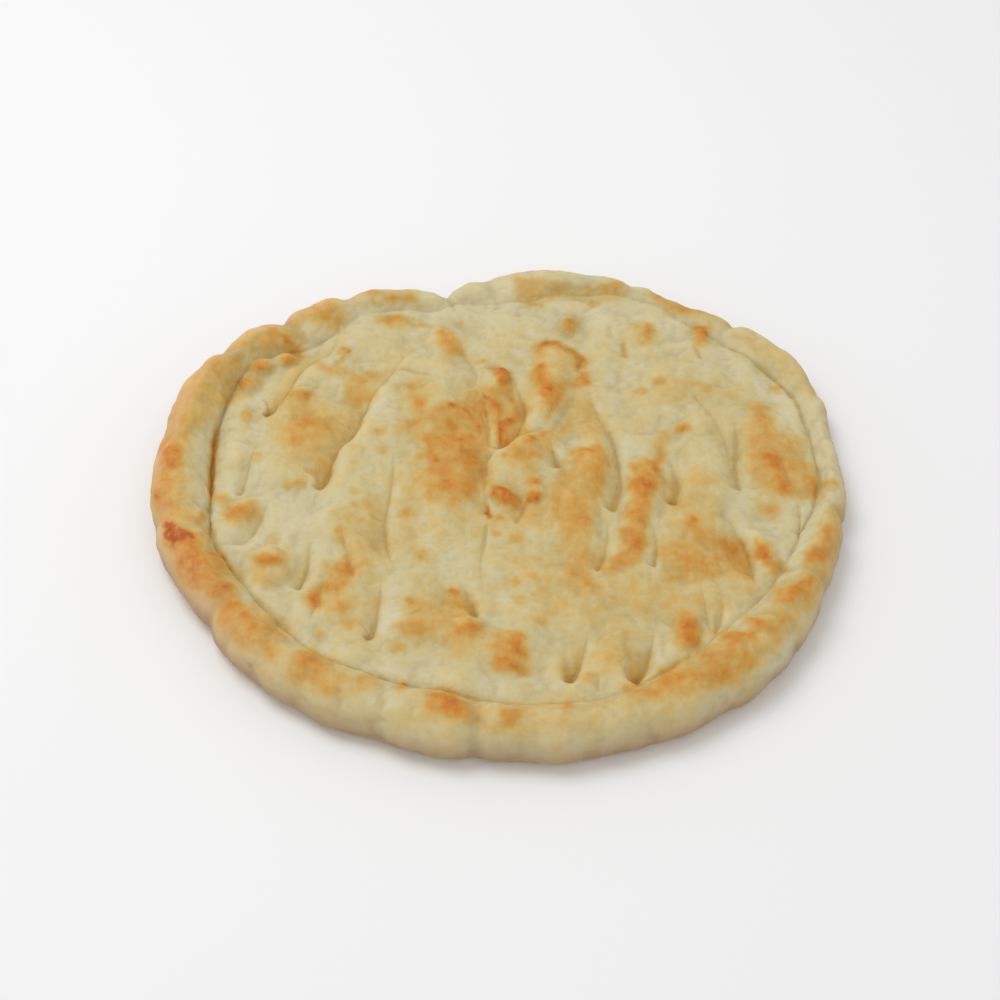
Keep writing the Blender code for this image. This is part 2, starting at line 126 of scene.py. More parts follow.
BLISTERS = (
    (-111, 80, 7, 6, 0, 2.6), (-100, 85, 6, 5, 0, 2), (-116, 67, 6, 5, 0, 1.4),
    (-91, 59, 7, 3.5, 10, 1.4), (-112, -15, 8, 5.5, -20, 1.8), (-98, -45, 7, 6.5, 0, 1.8),
    (-90, 1, 5, 4, 0, 1), (0, 74, 8, 5, 100, 1.8), (1, -7, 8.5, 6, -45, 3), (13.5, -6, 7, 4.5, 70, 2.4),
    (14, 3, 4, 3.5, 0, 1.2), (31, 111, 7, 4.5, 90, 1.6), (67, 106, 7, 4, 100, 1.2),
    (93, 104, 7.5, 4, 80, 1.6), (80, 38, 5.5, 5, 0, 1.2), (-15, -83, 7, 5, 0, 1.4),
)
BUMP_POWER = 1.5

# Folds of the middle: depth, width of the soft bank, width of the steep bank, the lengths over
# which the fold deepens at its start and shallows at its end, then x and y of each place that it
# runs through. The soft bank lies on the right hand of someone who walks along it, and the edge of
# a puffy lobe bulges up on the left.
FOLDS = (
    (5.6, 18, 5, 90, 4, -38, 110, -39.5, 98, -43.5, 89, -50, 79, -54, 70, -59.5, 59, -64, 45, -65.5, 36,
        -71, 29, -75, 18, -77, 8, -77.5, 1, -80, -1.5, -83.5, -1),
    (5, 16, 6, 40, 4, -75, 108, -78, 97, -81, 89, -88, 84, -94, 77, -97, 65, -101, 55, -105, 47,
        -109, 48.5),
    (1.2, 4, 4, 6, 6, -86, 60, -91, 61.5, -97, 58),
    (1.9, 8, 6, 44, 3, -107, 44, -110, 22, -112, 4, -113, -4, -116, -7),
    (2.8, 14, 5, 30, 12, -49, 26, -48, 10, -49.5, -10, -51, -26, -49.5, -36, -47, -48),
    (3.4, 10, 4, 34, 3, -51, -50, -50.5, -64, -52, -80, -53, -90, -57, -89),
    (1, 4, 4, 4, 3, -58, -17, -54, -20.5, -50, -20), (3, 15, 9, 22, 8, -11, 68, -8, 54, -7, 40, -6, 24),
    (3, 10, 4, 5, 22, -4, 22, -7.5, 15, -8.3, 4, -8, -8),
    (3.8, 8, 4, 18, 3, -8, -2, -7.5, -12, -5.5, -19.5),
    (3, 6, 5, 16, 3, 22, 38, 12, 35.5, 5, 30, 0, 24.5, -2, 23),
    (0.8, 4, 4, 8, 3, 1.5, 58, -0.5, 44, 0, 25),
    (4.2, 20, 6, 40, 4, 3, 82, 5.5, 70, 8, 58, 9.5, 47, 8, 37, 2, 28, -4, 21),
    (1.9, 4, 4, 16, 6, 6.5, 60, 4, 68, 2, 75, -1, 78.8, -5, 80.4, -11, 80.5),
    (1.6, 5, 4, 8, 8, 38.5, 80, 38, 86, 34.5, 90.5, 30, 93.5, 26, 96.5, 20, 97.7, 13, 93),
    (1.6, 3, 3, 6, 3, 37.5, 86, 35.3, 80, 34, 74), (4.4, 9, 5, 18, 3, 21, 33, 22.5, 22, 25, 10),
    (3.8, 12, 5, 90, 4, 34, 88, 37.5, 74, 39.5, 60, 42, 48, 46, 37, 50, 25, 51.5, 8, 50, -6, 46.5, -17),
    (4.2, 10, 4, 34, 4, 73, 24, 75.5, 4, 75, -6, 73, -14),
    (1.3, 12, 7, 18, 8, 80, 70, 88, 58, 94, 46, 98, 34, 100.5, 22),
    (2.8, 9, 5, 30, 3, 101, 50, 104, 40, 103.8, 28, 102.3, 14, 102, 4, 103, -4),
    (3.4, 14, 6, 34, 10, 94, -8, 97.5, -22, 102, -38, 103, -50, 104, -62),
    (3.2, 13, 5, 30, 4, 45, -16, 44.5, -28, 43.5, -37, 41.5, -46, 38.5, -53),
    (3.2, 11, 4, 32, 3, 61, -18, 64.5, -30, 65, -38, 63, -51), (2, 6, 5, 6, 3, 10, -9, 8, -18, 5, -25),
    (7, 12, 5, 34, 3, 35, -84, 33.5, -94, 31, -102, 28.5, -109, 25, -115),
    (7.4, 13, 6, 36, 3, 62, -80, 60.5, -91, 58, -101, 55, -108, 51, -115),
    (1, 5, 4, 12, 6, 81, -58, 83, -74, 84, -90),
    (2.6, 7, 5, 20, 3, 91, -60, 90, -72, 87.5, -82, 85.5, -89),
    (1.6, 6, 5, 14, 18, -101, -8, -102, -18, -105, -27, -107.5, -34, -112, -36.5, -120, -38),
    (4.6, 12, 4, 34, 3, -82, -28, -81.7, -46, -83, -57, -85, -64),
    (1.4, 8, 6, 18, 6, -22, 106, -18.5, 90, -14, 82, -12, 76, -13, 70, -16, 64),
    (1, 5, 4, 6, 8, -51, 78, -44, 78, -38, 75, -30, 70.5),
    (3.6, 10, 4, 18, 4, -18, -58, -14, -68, -10, -80),
    (1.5, 11, 8, 8, 12, -6.5, -21, -8, -34, -9.5, -48, -9, -62),
    (1.5, 9, 6, 10, 8, -69, -24, -67, -40, -63, -52, -61, -62),
    (2, 9, 6, 8, 6, -75, -56, -75, -68, -79, -82),
    (1.5, 6, 4, 10, 6, 57, 102, 56.5, 94, 57.5, 87, 60.5, 86),
    (0.5, 12, 8, 20, 20, 132, 36, 124, 48, 115, 56, 108, 66, 100, 78, 90, 82, 80, 85, 70, 83),
    (0.6, 6, 4, 8, 8, -50, 84, -60, 86, -73, 83), (1.4, 6, 5, 8, 4, 88, 98, 91, 91, 93, 83.5),
    (1.2, 6, 5, 8, 4, 121, 13, 124, 4, 125.5, -5), (1.8, 6, 6, 12, 5, 127, -8, 127.5, -20, 125, -34),
    (1.2, 5, 5, 5, 5, 38, -110, 37, -120), (0.8, 4, 4, 4, 4, -41, -80.5, -37, -78.5, -32, -74),
)

# The half width of a fold's rounded floor, and how far the lobe's edge stands up beside it, as a
# share of the depth.
FOLD_FLOOR = 0.6
FOLD_LIP = 0.2

# The soft bank narrows to this share of its width at a fold's end, along a curve of this power.
FOLD_TIP = 0.25
FOLD_POINT = 0.6

# The slow unevenness of hand-worked dough: wavelength and height of each layer of ripples.
RIPPLES = ((46.0, 0.8), (23.0, 0.65))
WAVES = 7
RIPPLE_SEED = 4

# The creases and browning are laid out on a slanting plan: a place's y grows by this much for each
# millimetre that the surface lies above the level.
PLAN_LEVEL = 14.0
PLAN_SLANT = 1.054

# Narrow creases of the skin, over the middle and the rim alike: depth, half width, then x and y of
# each place that it runs through.
CREASES = (
    (0.9, 1.3, -15, -119, -12, -126, -9, -137), (0.4, 1.2, -106, -63, -113, -71),
    (0.6, 1.4, -64, -114, -65, -128), (0.6, 1.4, -47, -111, -48, -128),
    (1.2, 2, -81, 124, -78, 116, -75, 108), (1.1, 1.8, -28, 137, -25, 128, -21, 119),
    (0.7, 1.4, 43, 132, 42, 126, 39, 120), (0.6, 1, 121, -41, 127, -39, 133, -40, 137, -42),
    (0.4, 0.9, 122, -58, 125, -55.5, 129, -57), (0.4, 0.9, 90, -88, 93, -86, 96, -89),
    (0.6, 0.9, -7, -21, -7.5, -32, -9, -40), (0.4, 0.8, 60, -8, 60, -24, 60.5, -38),
    (0.9, 1.6, -91, -80, -94, -88, -98, -94), (0.4, 0.9, -100, -41, -96, -41, -92.5, -44),
    (0.7, 1.1, -14, -80, -8, -82, -4, -82.5, 0, -86), (0.5, 1.2, 27, 115, 33, 112, 39, 108),
    (0.9, 1.3, 32, 60, 29, 52, 25, 42, 21, 32), (0.5, 1.2, 50, 113, 50, 100),
    (0.4, 1, 110, -40, 113, -47, 116, -50), (0.6, 1, -80, 46, -73, 41, -67, 36),
    (0.5, 0.9, -10, 50, -7, 38, -6, 28), (0.4, 0.9, -17, 54, -14, 46, -12, 38),
    (0.7, 1, -143.2, -29.1, -143.1, -23, -141.6, -21.1, -138.1, -21.8, -133.6, -24.2, -128.9, -27.9),
)

# Broad browned places: how soft the edge is, strength in percent, then x and y of each corner of
# the outline. A place with a strength below zero is paler than what lies round it. An edge this
# soft or softer wanders freely, and a crisper one keeps to its outline.
BROWN_ZONES = (
    (5, 40, -30, 51, -24, 58, -12, 61, -8, 50, -8, 2, -13, -8, -22, -14, -31, -6, -36, 4, -36, 26),
    (8, 14, -47, 70, -34, 72, -30, 40, -36, -20, -30, -46, -46, -40, -44, 20),
    (8, 20, -100, 46, -95, 62, -84, 62, -72, 46, -72, 30, -80, 2, -90, 8, -104, 28),
    (5, 18, -94, 52, -80, 49, -78, 36, -88, 30, -96, 38),
    (4, 34, -78, 83, -70, 78, -60, 72, -60, 58, -68, 50, -73, 56, -72, 70),
    (4, 30, -50, 119, -40, 114, -44, 110, -60, 112, -60, 118),
    (3, 26, -32, 111, -26, 112, -19, 98, -15, 88, -24, 90, -29, 100),
    (6, 16, -46, 72, -34, 70, -33, 50, -38, 30, -46, 34),
    (3, 16, 14, 95, 22, 99, 30, 94, 38, 86, 39, 72, 31, 66, 22, 50, 13, 53, 12, 72),
    (2, 28, 12, 92, 20, 99, 27, 99, 33, 93, 39, 86, 40, 70, 34, 65, 30, 68, 36, 74, 35, 84, 26, 94,
        17, 92),
    (2.5, 26, 14, 82, 19, 84, 22, 76, 20, 66, 14, 68),
    (2.5, 30, 18, 70, 28, 70, 27, 60, 23, 51, 18, 54, 17, 62),
    (3, 30, -8, 64, 0, 72, 7, 62, 9, 48, 8, 34, 0, 26, -5, 40),
    (4, 28, 0, 27, 10, 34, 30, 42, 24, 28, 16, 20, 14, 6, 4, 14),
    (4, 40, 22, 10, 30, 24, 42, 28, 48, 14, 45, 0, 38, -22, 24, -22, 20, -6),
    (4, 28, 22, -20, 38, -20, 35, -42, 36, -60, 28, -60, 24, -36),
    (3, 38, 56, 14, 69, 18, 69, 2, 62, -16, 60, -32, 50, -34, 54, -10),
    (3, 24, 66, 16, 71, 16, 74, 36, 69, 36),
    (3, 44, 56, -28, 62, -36, 56, -50, 43, -51, 46, -42, 52, -36),
    (6, 36, 112, 55, 120, 48, 131, 33, 137, 10, 138, -6, 124, -8, 112, -2, 107, 10, 108, 34),
    (5, 18, 112, 28, 123, 26, 125, 0, 115, -2),
    (5, 45, 79, -19, 92, -27, 104, -44, 102, -54, 84, -57, 69, -57, 67, -44, 73, -29),
    (3, 52, 106, -34, 112, -37, 118, -51, 112, -54, 105, -43),
    (4, 22, 106, -8, 118, -8, 118, -22, 106, -22),
    (3, 36, -5, -86, 7, -86, 10, -98, 9, -108, -5, -107, -4, -98),
    (3, 36, 74, -76, 81, -79, 78, -92, 72, -97, 69, -88),
    (5, 22, -106, -40, -92, -38, -88, -52, -94, -60, -104, -56),
    (4, 30, -119, -12, -108, -10, -104, -20, -110, -26, -119, -22),
    (7, 20, -73, -18, -60, -12, -52, -30, -50, -70, -54, -90, -66, -88, -76, -70, -64, -45),
    (4, 22, -74, -48, -64, -44, -60, -56, -70, -68, -78, -64),
    (5, 24, -43, -84, -38, -68, -20, -60, -9, -78, -12, -90, -34, -92),
    (8, 18, 8, -50, 60, -54, 112, -58, 100, -72, 70, -80, 40, -78, 12, -76),
    (6, 16, 38, -84, 54, -86, 56, -104, 38, -110), (6, 16, 84, 10, 93, 8, 96, -20, 82, -26),
    (7, 14, 68, 72, 102, 72, 106, 58, 72, 54), (7, 16, 28, 66, 40, 62, 42, 44, 26, 40),
    (4, 26, 62, 113, 70, 113, 73, 96, 66, 97), (4, 26, 89, 111, 98, 111, 97, 96, 90, 96),
    (6, 14, -120, -80, -60, -112, 0, -122, 50, -118, 104, -76, 120, -96, 60, -134, 0, -142, -70, -132),
    (9, 10, -40, -20, 60, -50, 100, -90, 40, -112, -60, -100, -90, -70),
    (9, 8, -110, 50, -60, 110, 60, 110, 120, 60, 100, 0, 0, 20, -90, 0),
    (5, 32, -133, 90, -118, 87, -114, 70, -119, 58, -130, 46, -138, 30, -139, 5, -134, -20, -147, -22,
        -154, 0, -153, 40, -147, 66),
    (4, 34, -132, 90, -119, 106, -104, 114, -96, 106, -91, 88, -104, 90, -118, 87),
    (5, 32, -100, 112, -91, 125, -80, 132, -73, 120, -75, 106, -88, 110),
    (5, 16, -72, 142, -42, 142, -40, 126, -70, 126),
    (3, 26, 4, 148, 7, 130, 20, 124, 26, 132, 44, 129, 60, 134, 56, 147, 40, 141, 24, 144),
    (4, 26, 70, 138, 80, 130, 96, 124, 100, 116, 86, 116, 74, 126),
    (6, 14, 104, 110, 120, 102, 140, 76, 146, 56, 136, 60, 112, 92),
    (5, 47, -146, -20, -130, -21, -121, -38, -108, -60, -114, -73, -126, -64, -137, -46),
    (5, 36, -112, -64, -100, -70, -84, -88, -92, -102, -108, -90, -117, -76),
    (4, 24, -86, -95, -70, -99, -58, -108, -46, -112, -50, -119, -70, -119, -86, -112),
    (3, 34, -31, -118, -20, -118, -10, -127, -8, -135, -17, -132, -29, -125),
    (4, 24, -3, -124, 7, -124, 8, -138, -2, -138),
    (4, 32, 47, -116, 64, -108, 88, -93, 106, -73, 116, -61, 129, -37, 139, -17, 148, -20, 143, -42,
        134, -58, 115, -90, 92, -111, 76, -117, 62, -119, 48, -121),
    (1.2, 97, -143.2, -29.1, -143.1, -23.3, -141.6, -21.1, -138.1, -21.8, -134.5, -23.6, -130.8, -26.6,
        -127.8, -30.3, -131.8, -32.7, -137.6, -33.9, -141.9, -33.3),
    (3, 34, -142.8, -29.7, -137.1, -30.9, -130.4, -30.3, -125.8, -33.3, -128, -36.3, -134.6, -38.1,
        -140.6, -37.5),
    (1.4, 45, -4.5, -2, -0.8, -0.7, 3.6, -2.9, 6.7, -6.5, 7.7, -11.1, 6.1, -13.8, 3, -12, -0.8, -10.2,
        -3.9, -6.5),
    (1.4, 40, 9.2, -6.5, 11.1, -2.9, 14.3, -2, 16.5, -3.8, 16.7, -7.5, 14.8, -11.1, 11.1, -10.2),
    (1.4, 40, -5.4, 79, -2.1, 80.1, 1.3, 77, 2.9, 72.8, 1.9, 67.7, -0.7, 65.7, -1.8, 69.8, -3.4, 73.9),
    (7, 10, -22, 24, 0, 22, 18, 8, 18, -26, -22, -26), (6, 16, -44, 2, -28, 2, -26, -20, -42, -20),
    (7, -12, 22, 32, 62, 32, 60, 4, 40, -16, 22, -16), (7, 8, 2, -112, 40, -112, 36, -130, 4, -130),
    (6, 24, -150, 34, -138, 34, -134, -14, -148, -16), (6, 6, -66, 6, -46, 6, -46, -24, -64, -24),
    (5, 13, 22, 44, 42, 46, 44, 30, 24, 28), (6, 12, -22, -86, -2, -86, -4, -106, -20, -106),
    (5, -25, 100, -86, 116, -84, 118, -104, 104, -108),
    (6, -12, -78, -114, -36, -116, -36, -132, -74, -130),
    (3, 30, 72, 139, 84, 132, 92, 123, 86, 120, 70, 133), (3, 16, 92, 124, 110, 113, 106, 109, 90, 118),
    (4, 9, 108, 104, 124, 98, 132, 88, 126, 86, 112, 96),
    (3, 20, 137, 80, 142, 72, 147, 60, 144, 57, 139, 68), (8, -11, -24, -30, 0, -30, 0, -52, -24, -52),
    (8, -12, -66, -54, -44, -54, -42, -88, -66, -88), (6, 12, -100, 56, -84, 52, -78, 30, -94, 30),
    (8, -14, -70, 66, -46, 66, -46, 46, -70, 46), (8, -14, -90, 34, -70, 34, -70, 12, -90, 12),
    (9, 11, -30, 8, 30, 6, 84, 8, 86, -24, 40, -50, 0, -50, -26, -30),
    (7, 6, 4, -6, 40, -4, 40, -24, 4, -24), (7, -6, 40, -28, 62, -28, 62, -52, 40, -52),
    (7, -14, 60, -90, 76, -98, 62, -102, 54, -94), (6, -12, -60, -74, -44, -74, -44, -88, -60, -88),
    (6, 10, 2, -2, 20, -2, 20, -24, 2, -24), (6, 12, 68, 4, 84, 4, 84, -24, 68, -24),
    (7, 14, 24, 68, 40, 66, 40, 44, 24, 46), (7, 12, -20, 68, -4, 66, -4, 46, -20, 46),
)
LOOSE_EDGE = 5.0

# How far the noise moves the browned places' outlines, the size of its grains, and its first seed:
# of all of them, and of the soft ones besides.
FINE_WARP = (1.2, 4.0, 2)
LOOSE_WARP = (3.5, 11.0, 1)

# Thin browned lines, mostly in creases: half width, strength in percent, x and y of each place.
BROWN_LINES = (
    (1, 90, -128.4, 44, -128.1, 24, -127.3, 6, -126.4, -6, -125.4, -18),
    (1.2, 12, 98, 99, 110, 89, 120, 77, 128, 67, 133, 56, 134, 42), (0.8, 60, -75, 93, -72, 94, -71, 91),
    (1.2, 45, -6, 81, 0, 79.5, 3, 74, 4.5, 68), (0.8, 45, 19, 98, 24, 99.5, 28, 98),
    (0.9, 45, 27, 98, 33, 92.5, 38, 87, 35, 83, 34, 78),
    (0.9, 40, 30, 72, 27, 63, 24, 55, 20, 46, 18, 40), (0.9, 60, -6.8, -10, -6.6, -18, -6, -21),
    (1, 35, -1.5, 60, -2, 46, -1, 30, -1, 22), (0.9, 30, 9, 60, 9.8, 48, 9.6, 34),
    (1.4, 24, -34, 36, -33, 28, -31, 18, -27, 12), (1.6, 22, -27, 50, -23, 42, -21, 30, -16, 22, -12, 14),
    (1, 30, -18, 54, -14, 46, -11, 40, -10, 30), (1, 30, -11, 60, -8, 50, -7, 44),
    (0.9, 55, -9, 61, -7, 58, -5.5, 55), (1.2, 25, -76, 10, -78, 2, -81, -2),
    (1.2, 22, 48, -4, 47.5, -12, 46.5, -17), (1.6, 25, 26, -104, 25, -110, 24.5, -113),
    (1.4, 25, 52, -104, 51, -110, 50.5, -113), (1, 22, 56.5, 100, 57, 86, 61, 85),
    (0.9, 25, -104, 51, -106, 47, -107, 44),
)

# A thin line or crease comes up over this share of its length, and fades out over the same.
LINE_END = 0.25

# Browned spots, with strengths in percent. Round: x, y, half width, strength. Upright: x, y, half
# size along x and along y, strength. Turned: x, y, half length, half width, turn, strength.
ROUND_SPOTS = (
    (-111, 80.5, 5.3, 80), (-100, 84.7, 3.7, 68), (-95, 88, 3, 50), (-116, 68, 4, 62), (-116, 60, 3, 28),
    (-89, 60, 2, 60), (-88.7, 42.6, 3.5, 58), (-118, -8, 2, 36), (-73, -17, 2, 40), (-64, -3, 2, 38),
    (-63, -11, 2, 38), (-72, 91, 1.5, 85), (-23.4, 53.7, 2.2, 55), (-25, 0.5, 4, 45), (-5.5, 55, 3, 45),
    (1.8, 42.6, 3, 60), (11.8, 51.6, 2, 42), (11.3, 30, 3, 52), (0, 20, 1.5, 65), (11, 19.5, 5, 30),
    (29, -53, 2, 48), (34, -59, 2, 48), (14, 2.6, 3, 62), (-1.3, -19.5, 2, 50), (-3.4, -29.5, 2, 50),
    (57, -17, 5, 50), (54, -30, 5, 42), (56, -37, 4, 42), (71, 33, 3, 28), (70, 23, 2.5, 45),
    (142, 1, 3, 52), (115, -15, 4, 46), (98, -37.4, 4, 48), (80, -22, 2.5, 42), (0.3, -103.7, 5, 54),
    (-20.8, -64, 2.5, 70), (-30, 105, 2, 56), (-20, 114, 2, 40), (-90, 124, 3, 50), (-84, 118, 3, 50),
    (-97, 92, 3, 48), (-128.7, -19, 3, 56), (-127.6, -45, 8, 42), (-130, -55, 8, 38),
    (-115, -62.6, 5, 42), (-109, -71, 4, 42), (-104.5, -76, 2, 56), (-97, -85, 6, 42),
    (-78, -99.5, 5, 72), (-72, -104, 4, 52), (-40, -115, 2, 75), (112, -79.5, 1.5, 58), (142, -16, 4, 44),
)
UPRIGHT_SPOTS = (
    (-111, 72, 2.5, 5, 35), (-115.5, 47, 2.5, 5, 58), (-115, 38, 2.5, 3, 30), (-92, 60, 5, 3, 52),
    (-92, 29, 2.5, 4, 48), (-90.8, 1, 4, 3, 55), (-112, -16, 6, 4, 58), (-96, -57, 5, 4, 25),
    (-68.7, -30.5, 2.5, 5, 55), (-66.6, -52, 6, 5, 42), (-72, -61.6, 4, 3, 42), (-77.6, -68, 3.5, 5, 85),
    (-74.5, -88, 1.8, 3, 60), (-57.6, -10.5, 2.5, 4, 45), (-75, 88, 1.5, 6, 60), (-61, 75, 5, 4, 48),
    (-24.5, 36, 5, 6, 25), (-0.3, 74, 3, 5, 55), (0, 38, 2, 4, 42), (32, 110.5, 4.5, 5.5, 66),
    (31, 114, 3, 2, 49), (67, 107, 3, 6, 36), (93.4, 103.7, 3, 7, 55), (93.4, 110, 3, 1.2, 70),
    (35, 83, 2, 3, 62), (16.6, 77, 2.5, 7, 50), (21, 62.6, 4, 8, 40), (37, 72, 4, 5, 40),
    (40, 24, 5, 2, 42), (41.3, 3.7, 2.5, 4, 48), (13.4, -6.8, 3, 4, 60), (5, -32, 3, 4, 42),
    (63, 13, 8, 5, 42), (60, 0, 5, 6, 58), (48.5, -45.8, 6, 4, 46), (-6.3, -18.5, 1.3, 2.2, 110),
    (117, 17, 4, 6, 52), (121.5, 0, 3, 7, 42), (116, 50, 4, 6, 50), (134.3, -2, 2.5, 8, 52),
    (4.5, -91, 5, 4, 40), (6.6, -97, 5, 4, 46), (8.7, -108, 4, 3, 50), (-20, -72, 5, 4, 35),
    (-13.5, -83.5, 6, 4, 72), (-36, -84, 5, 4, 42), (-52, 116, 6, 3, 48), (-39, 111.6, 3, 2, 52),
    (-25.5, 95, 4, 10, 25), (-78, 134, 4, 3, 48), (-97, 112, 4, 3, 48), (-122, 85, 3, 4, 48),
    (-62, 137, 4, 3, 46), (-53, 131, 4, 3, 46), (-44, 131, 4, 3, 44), (-145, 22, 5, 4, 62),
    (-144, 15, 4, 3, 54), (-145, 5, 4, 3, 48), (-149, -5, 3, 4, 56), (-142, -12, 4, 3, 46),
    (-78, -110, 4, 3, 20), (-56, -111, 5, 3, 24), (3, -131, 3, 5, 44), (25, -124, 2, 3, 46),
    (55, -118, 5, 4, 36), (66.6, -109, 5, 4, 34), (81, -98, 5, 4, 46), (85, -110, 5, 4, 36),
    (100, -79.5, 4, 3, 54), (137, -27, 5, 6, 50), (76, 133, 3, 2, 78), (43, 128, 2, 3, 46),
    (54, 140, 5, 3, 36),
)
TURNED_SPOTS = (
    (-97.5, -44.8, 6, 4, -10, 58), (-82, 80, 7, 2.5, -42, 45), (-21, 33, 17, 3, -66, 32),
    (-31.5, 23, 9, 1.5, -73, 50), (-7, 58.5, 2, 0.8, -56, 65), (0, 78, 4.5, 1.2, -30, 85),
    (-10, 85, 4, 1.5, 20, 55), (16.5, 93, 4, 1.8, 60, 48), (22, 98, 4, 1.8, 5, 48),
    (29, 94.5, 5, 1.8, -50, 45), (35, 88.5, 4, 1.8, -30, 45), (16, 33, 5, 1.8, 30, 40),
    (0.3, -6.3, 6, 4.5, -45, 55), (-1, -1.5, 4, 1.3, -20, 85), (80.3, 38, 4, 3.4, -15, 85),
    (110.3, -42.6, 3, 8, 20, 42), (75, -86, 4.5, 8, 20, 56), (-101.5, 100.5, 5.5, 1.8, -45, 60),
    (-22, -122.6, 12, 5, -8, 52), (93, -88, 6, 3, 10, 78), (117, -64, 7, 5, 30, 58),
    (124.5, -57, 4, 2, 40, 62), (131, -41, 9, 5, 50, 54), (15, 126, 6, 1.5, -20, 52),
)
SPOTS = (
    *((x, y, size, size, 0, strength) for x, y, size, strength in ROUND_SPOTS),
    *((*shape, 0, strength) for *shape, strength in UPRIGHT_SPOTS),
    *TURNED_SPOTS,
)

# Each spot browns the dough by this share of its strength, and fades out along this curve.
SPOT_SHARE = 0.68
SPOT_FADE, SPOT_FADE_POWER = 0.9, 1.4

# Faint round spots: x, y. They are all of one half width and one strength, in percent.
FAINT_SPOTS = (
    (-42, 66), (-37.6, 55), (-40, 41.6), (-42, -17), (-34, -42), (-61, -82), (-66, -72), (-38, -69),
    (-42, -94), (16, -80), (4.5, -57), (6, -68), (34, -110), (125.5, 66), (-107.6, 18), (-122, -8),
    (-54, 24), (-55, 36), (-97, -33), (71, 70), (93, 66), (63, 63),
)
FAINT_SIZE, FAINT_STRENGTH = 3.2, 32

# A browned spot this small and this dark is also a little blister. It reaches this much farther
# than the spot, and rises by this share of the spot's width.
BLISTER_SIZE = 8.5
BLISTER_FROM = 50
BLISTER_REACH = 1.3
BLISTER_RISE = 0.13

# The dough's skin: size and height of each layer of unevenness along the surface, and of the small
# puffs between thin creases, with how rounded those creases are and the puffs' mean level.
SKIN_LAYERS = ((11.0, 0.42), (5.0, 0.14), (2.4, 0.12))
PUFF_LAYERS = ((13.0, 1.6), (6.0, 0.7))
PUFF_VALLEY = 0.1
PUFF_LEVEL = 0.27

# Fine streaks in the skin, drawn out along y: size, share of the length along y, height.
STREAK_SIZE = 3.4
STREAK_STRETCH = 0.35
STREAK_HEIGHT = 0.16

# The noise seeds of the skin, the puffs and the streaks, and how far each seed shifts the noise.
SKIN_SEED, PUFF_SEED, STREAK_SEED = 5, 40, 60
SEED_SHIFT = (17.3, 5.1, 9.7)

# The skin is uneven in full from this height, and the small relief shows in full where the
# surface's normal rises this much.
SKIN_FROM = 4.0
RELIEF_SLOPE = 0.35

# Painted shade darkens the rim's outer side below this height. That and the rosy painted sheen come
# up over this width beside the rim's foot.
LOW_WALL = 20.0
RIM_EDGE = 12.0

# The rosy painted sheen starts this far left of the centre, nearer by the second length at the back,
# and comes up over the third. The back comes up over the same length behind the centre.
ROSY_FROM, ROSY_BACK, ROSY_EDGE = 72.0, 42.0, 60.0

# It lies where the surface faces outwards this much, less by the second share at the back, and
# comes up over the third.
ROSY_FACING, ROSY_BACK_FACING, ROSY_FACING_EDGE = 0.1, 0.4, 0.6

# The underside's colour starts where the surface faces down this much, and comes up over the second.
UNDER_FACING, UNDER_FACING_EDGE = 0.2, 0.6

# The squares of the mesh are cut once more this near to a fold and to the rim's foot.
FINE_BESIDE_FOLD = 2.6
FINE_BESIDE_FOOT = 2.2

# The top lies above this height. A place that no fold is near counts as this far away.
TOP_FROM = 8.0
FAR_AWAY = 99.0

# The bottoms of the folds and the rim's foot are darkened by a line of painted shade: half width of
# the line, and the depth from which it is as dark as it gets. A fold's line runs on into its end by
# this share of the length over which the fold shallows there.
FOLD_LINE, DEEP_FOLD = 0.7, 5.0
FOOT_LINE, DEEP_FOOT = 0.8, 3.2
FOLD_LINE_END = 0.4

# Creases and hollows are found by smoothing the mesh for this many rounds: how far below the
# smoothed mesh a full crease lies, and the span from a full crest to a full hollow.
CREASE_ROUNDS, CREASE_DEPTH = 3, 0.18
HOLLOW_ROUNDS, HOLLOW_SPAN = 90, 4.0


def smoothstep(value):
    t = np.clip(value, 0.0, 1.0)
    return t * t * (3 - 2 * t)


def ball_points(bm):
    """The cube's points moved out to a ball of radius 1, evenly spread."""
    points = np.array([vert.co for vert in bm.verts])
    points = np.tan(points * np.pi / 4)
    return points / np.linalg.norm(points, axis=1)[:, None]


def round_trip(column):
    """A station's value at every degree round the crust, smoothed from one station to the next."""
    degrees = np.arange(360)
    angles, values = np.array([(row[0] % 360, row[column]) for row in RIM_STATIONS]).T
    straight = np.interp(degrees, np.sort(angles), values[np.argsort(angles)], period=360)
    away = np.minimum(degrees, 360 - degrees)
    kernel = np.exp(-0.5 * (away / STATION_SMOOTHING) ** 2)
    kernel /= kernel.sum()
    return np.fft.ifft(np.fft.fft(straight) * np.fft.fft(kernel)).real


def around(column, angle):
    return np.interp(angle % 360, np.arange(360), round_trip(column), period=360)


def pinch(angle):
    """How deeply the rim is pinched in at each angle."""
    total = np.zeros_like(angle)
    for place, half_width, depth in RIM_PINCHES:
        away = (angle - place + 180) % 360 - 180
        total += depth * np.exp(-((away / half_width) ** 2))
    return total


def oval(x, y, centre_x, centre_y, half_length, half_width, turn):
    """How far out in a turned oval a place lies, squared: 0 at its centre and 1 on its edge."""
    turn = np.radians(turn)
    along = (x - centre_x) * np.cos(turn) + (y - centre_y) * np.sin(turn)
    across = (y - centre_y) * np.cos(turn) - (x - centre_x) * np.sin(turn)
    return (along / half_length) ** 2 + (across / half_width) ** 2


def bump(x, y, place):
    """A round or long swelling that ends smoothly at its own edge."""
    *shape, height = place
    return height * np.clip(1 - oval(x, y, *shape), 0, None) ** BUMP_POWER


def places(numbers):
    """Plan places from a row that holds the x and y of each in turn."""
    return np.array(numbers, float).reshape(-1, 2)


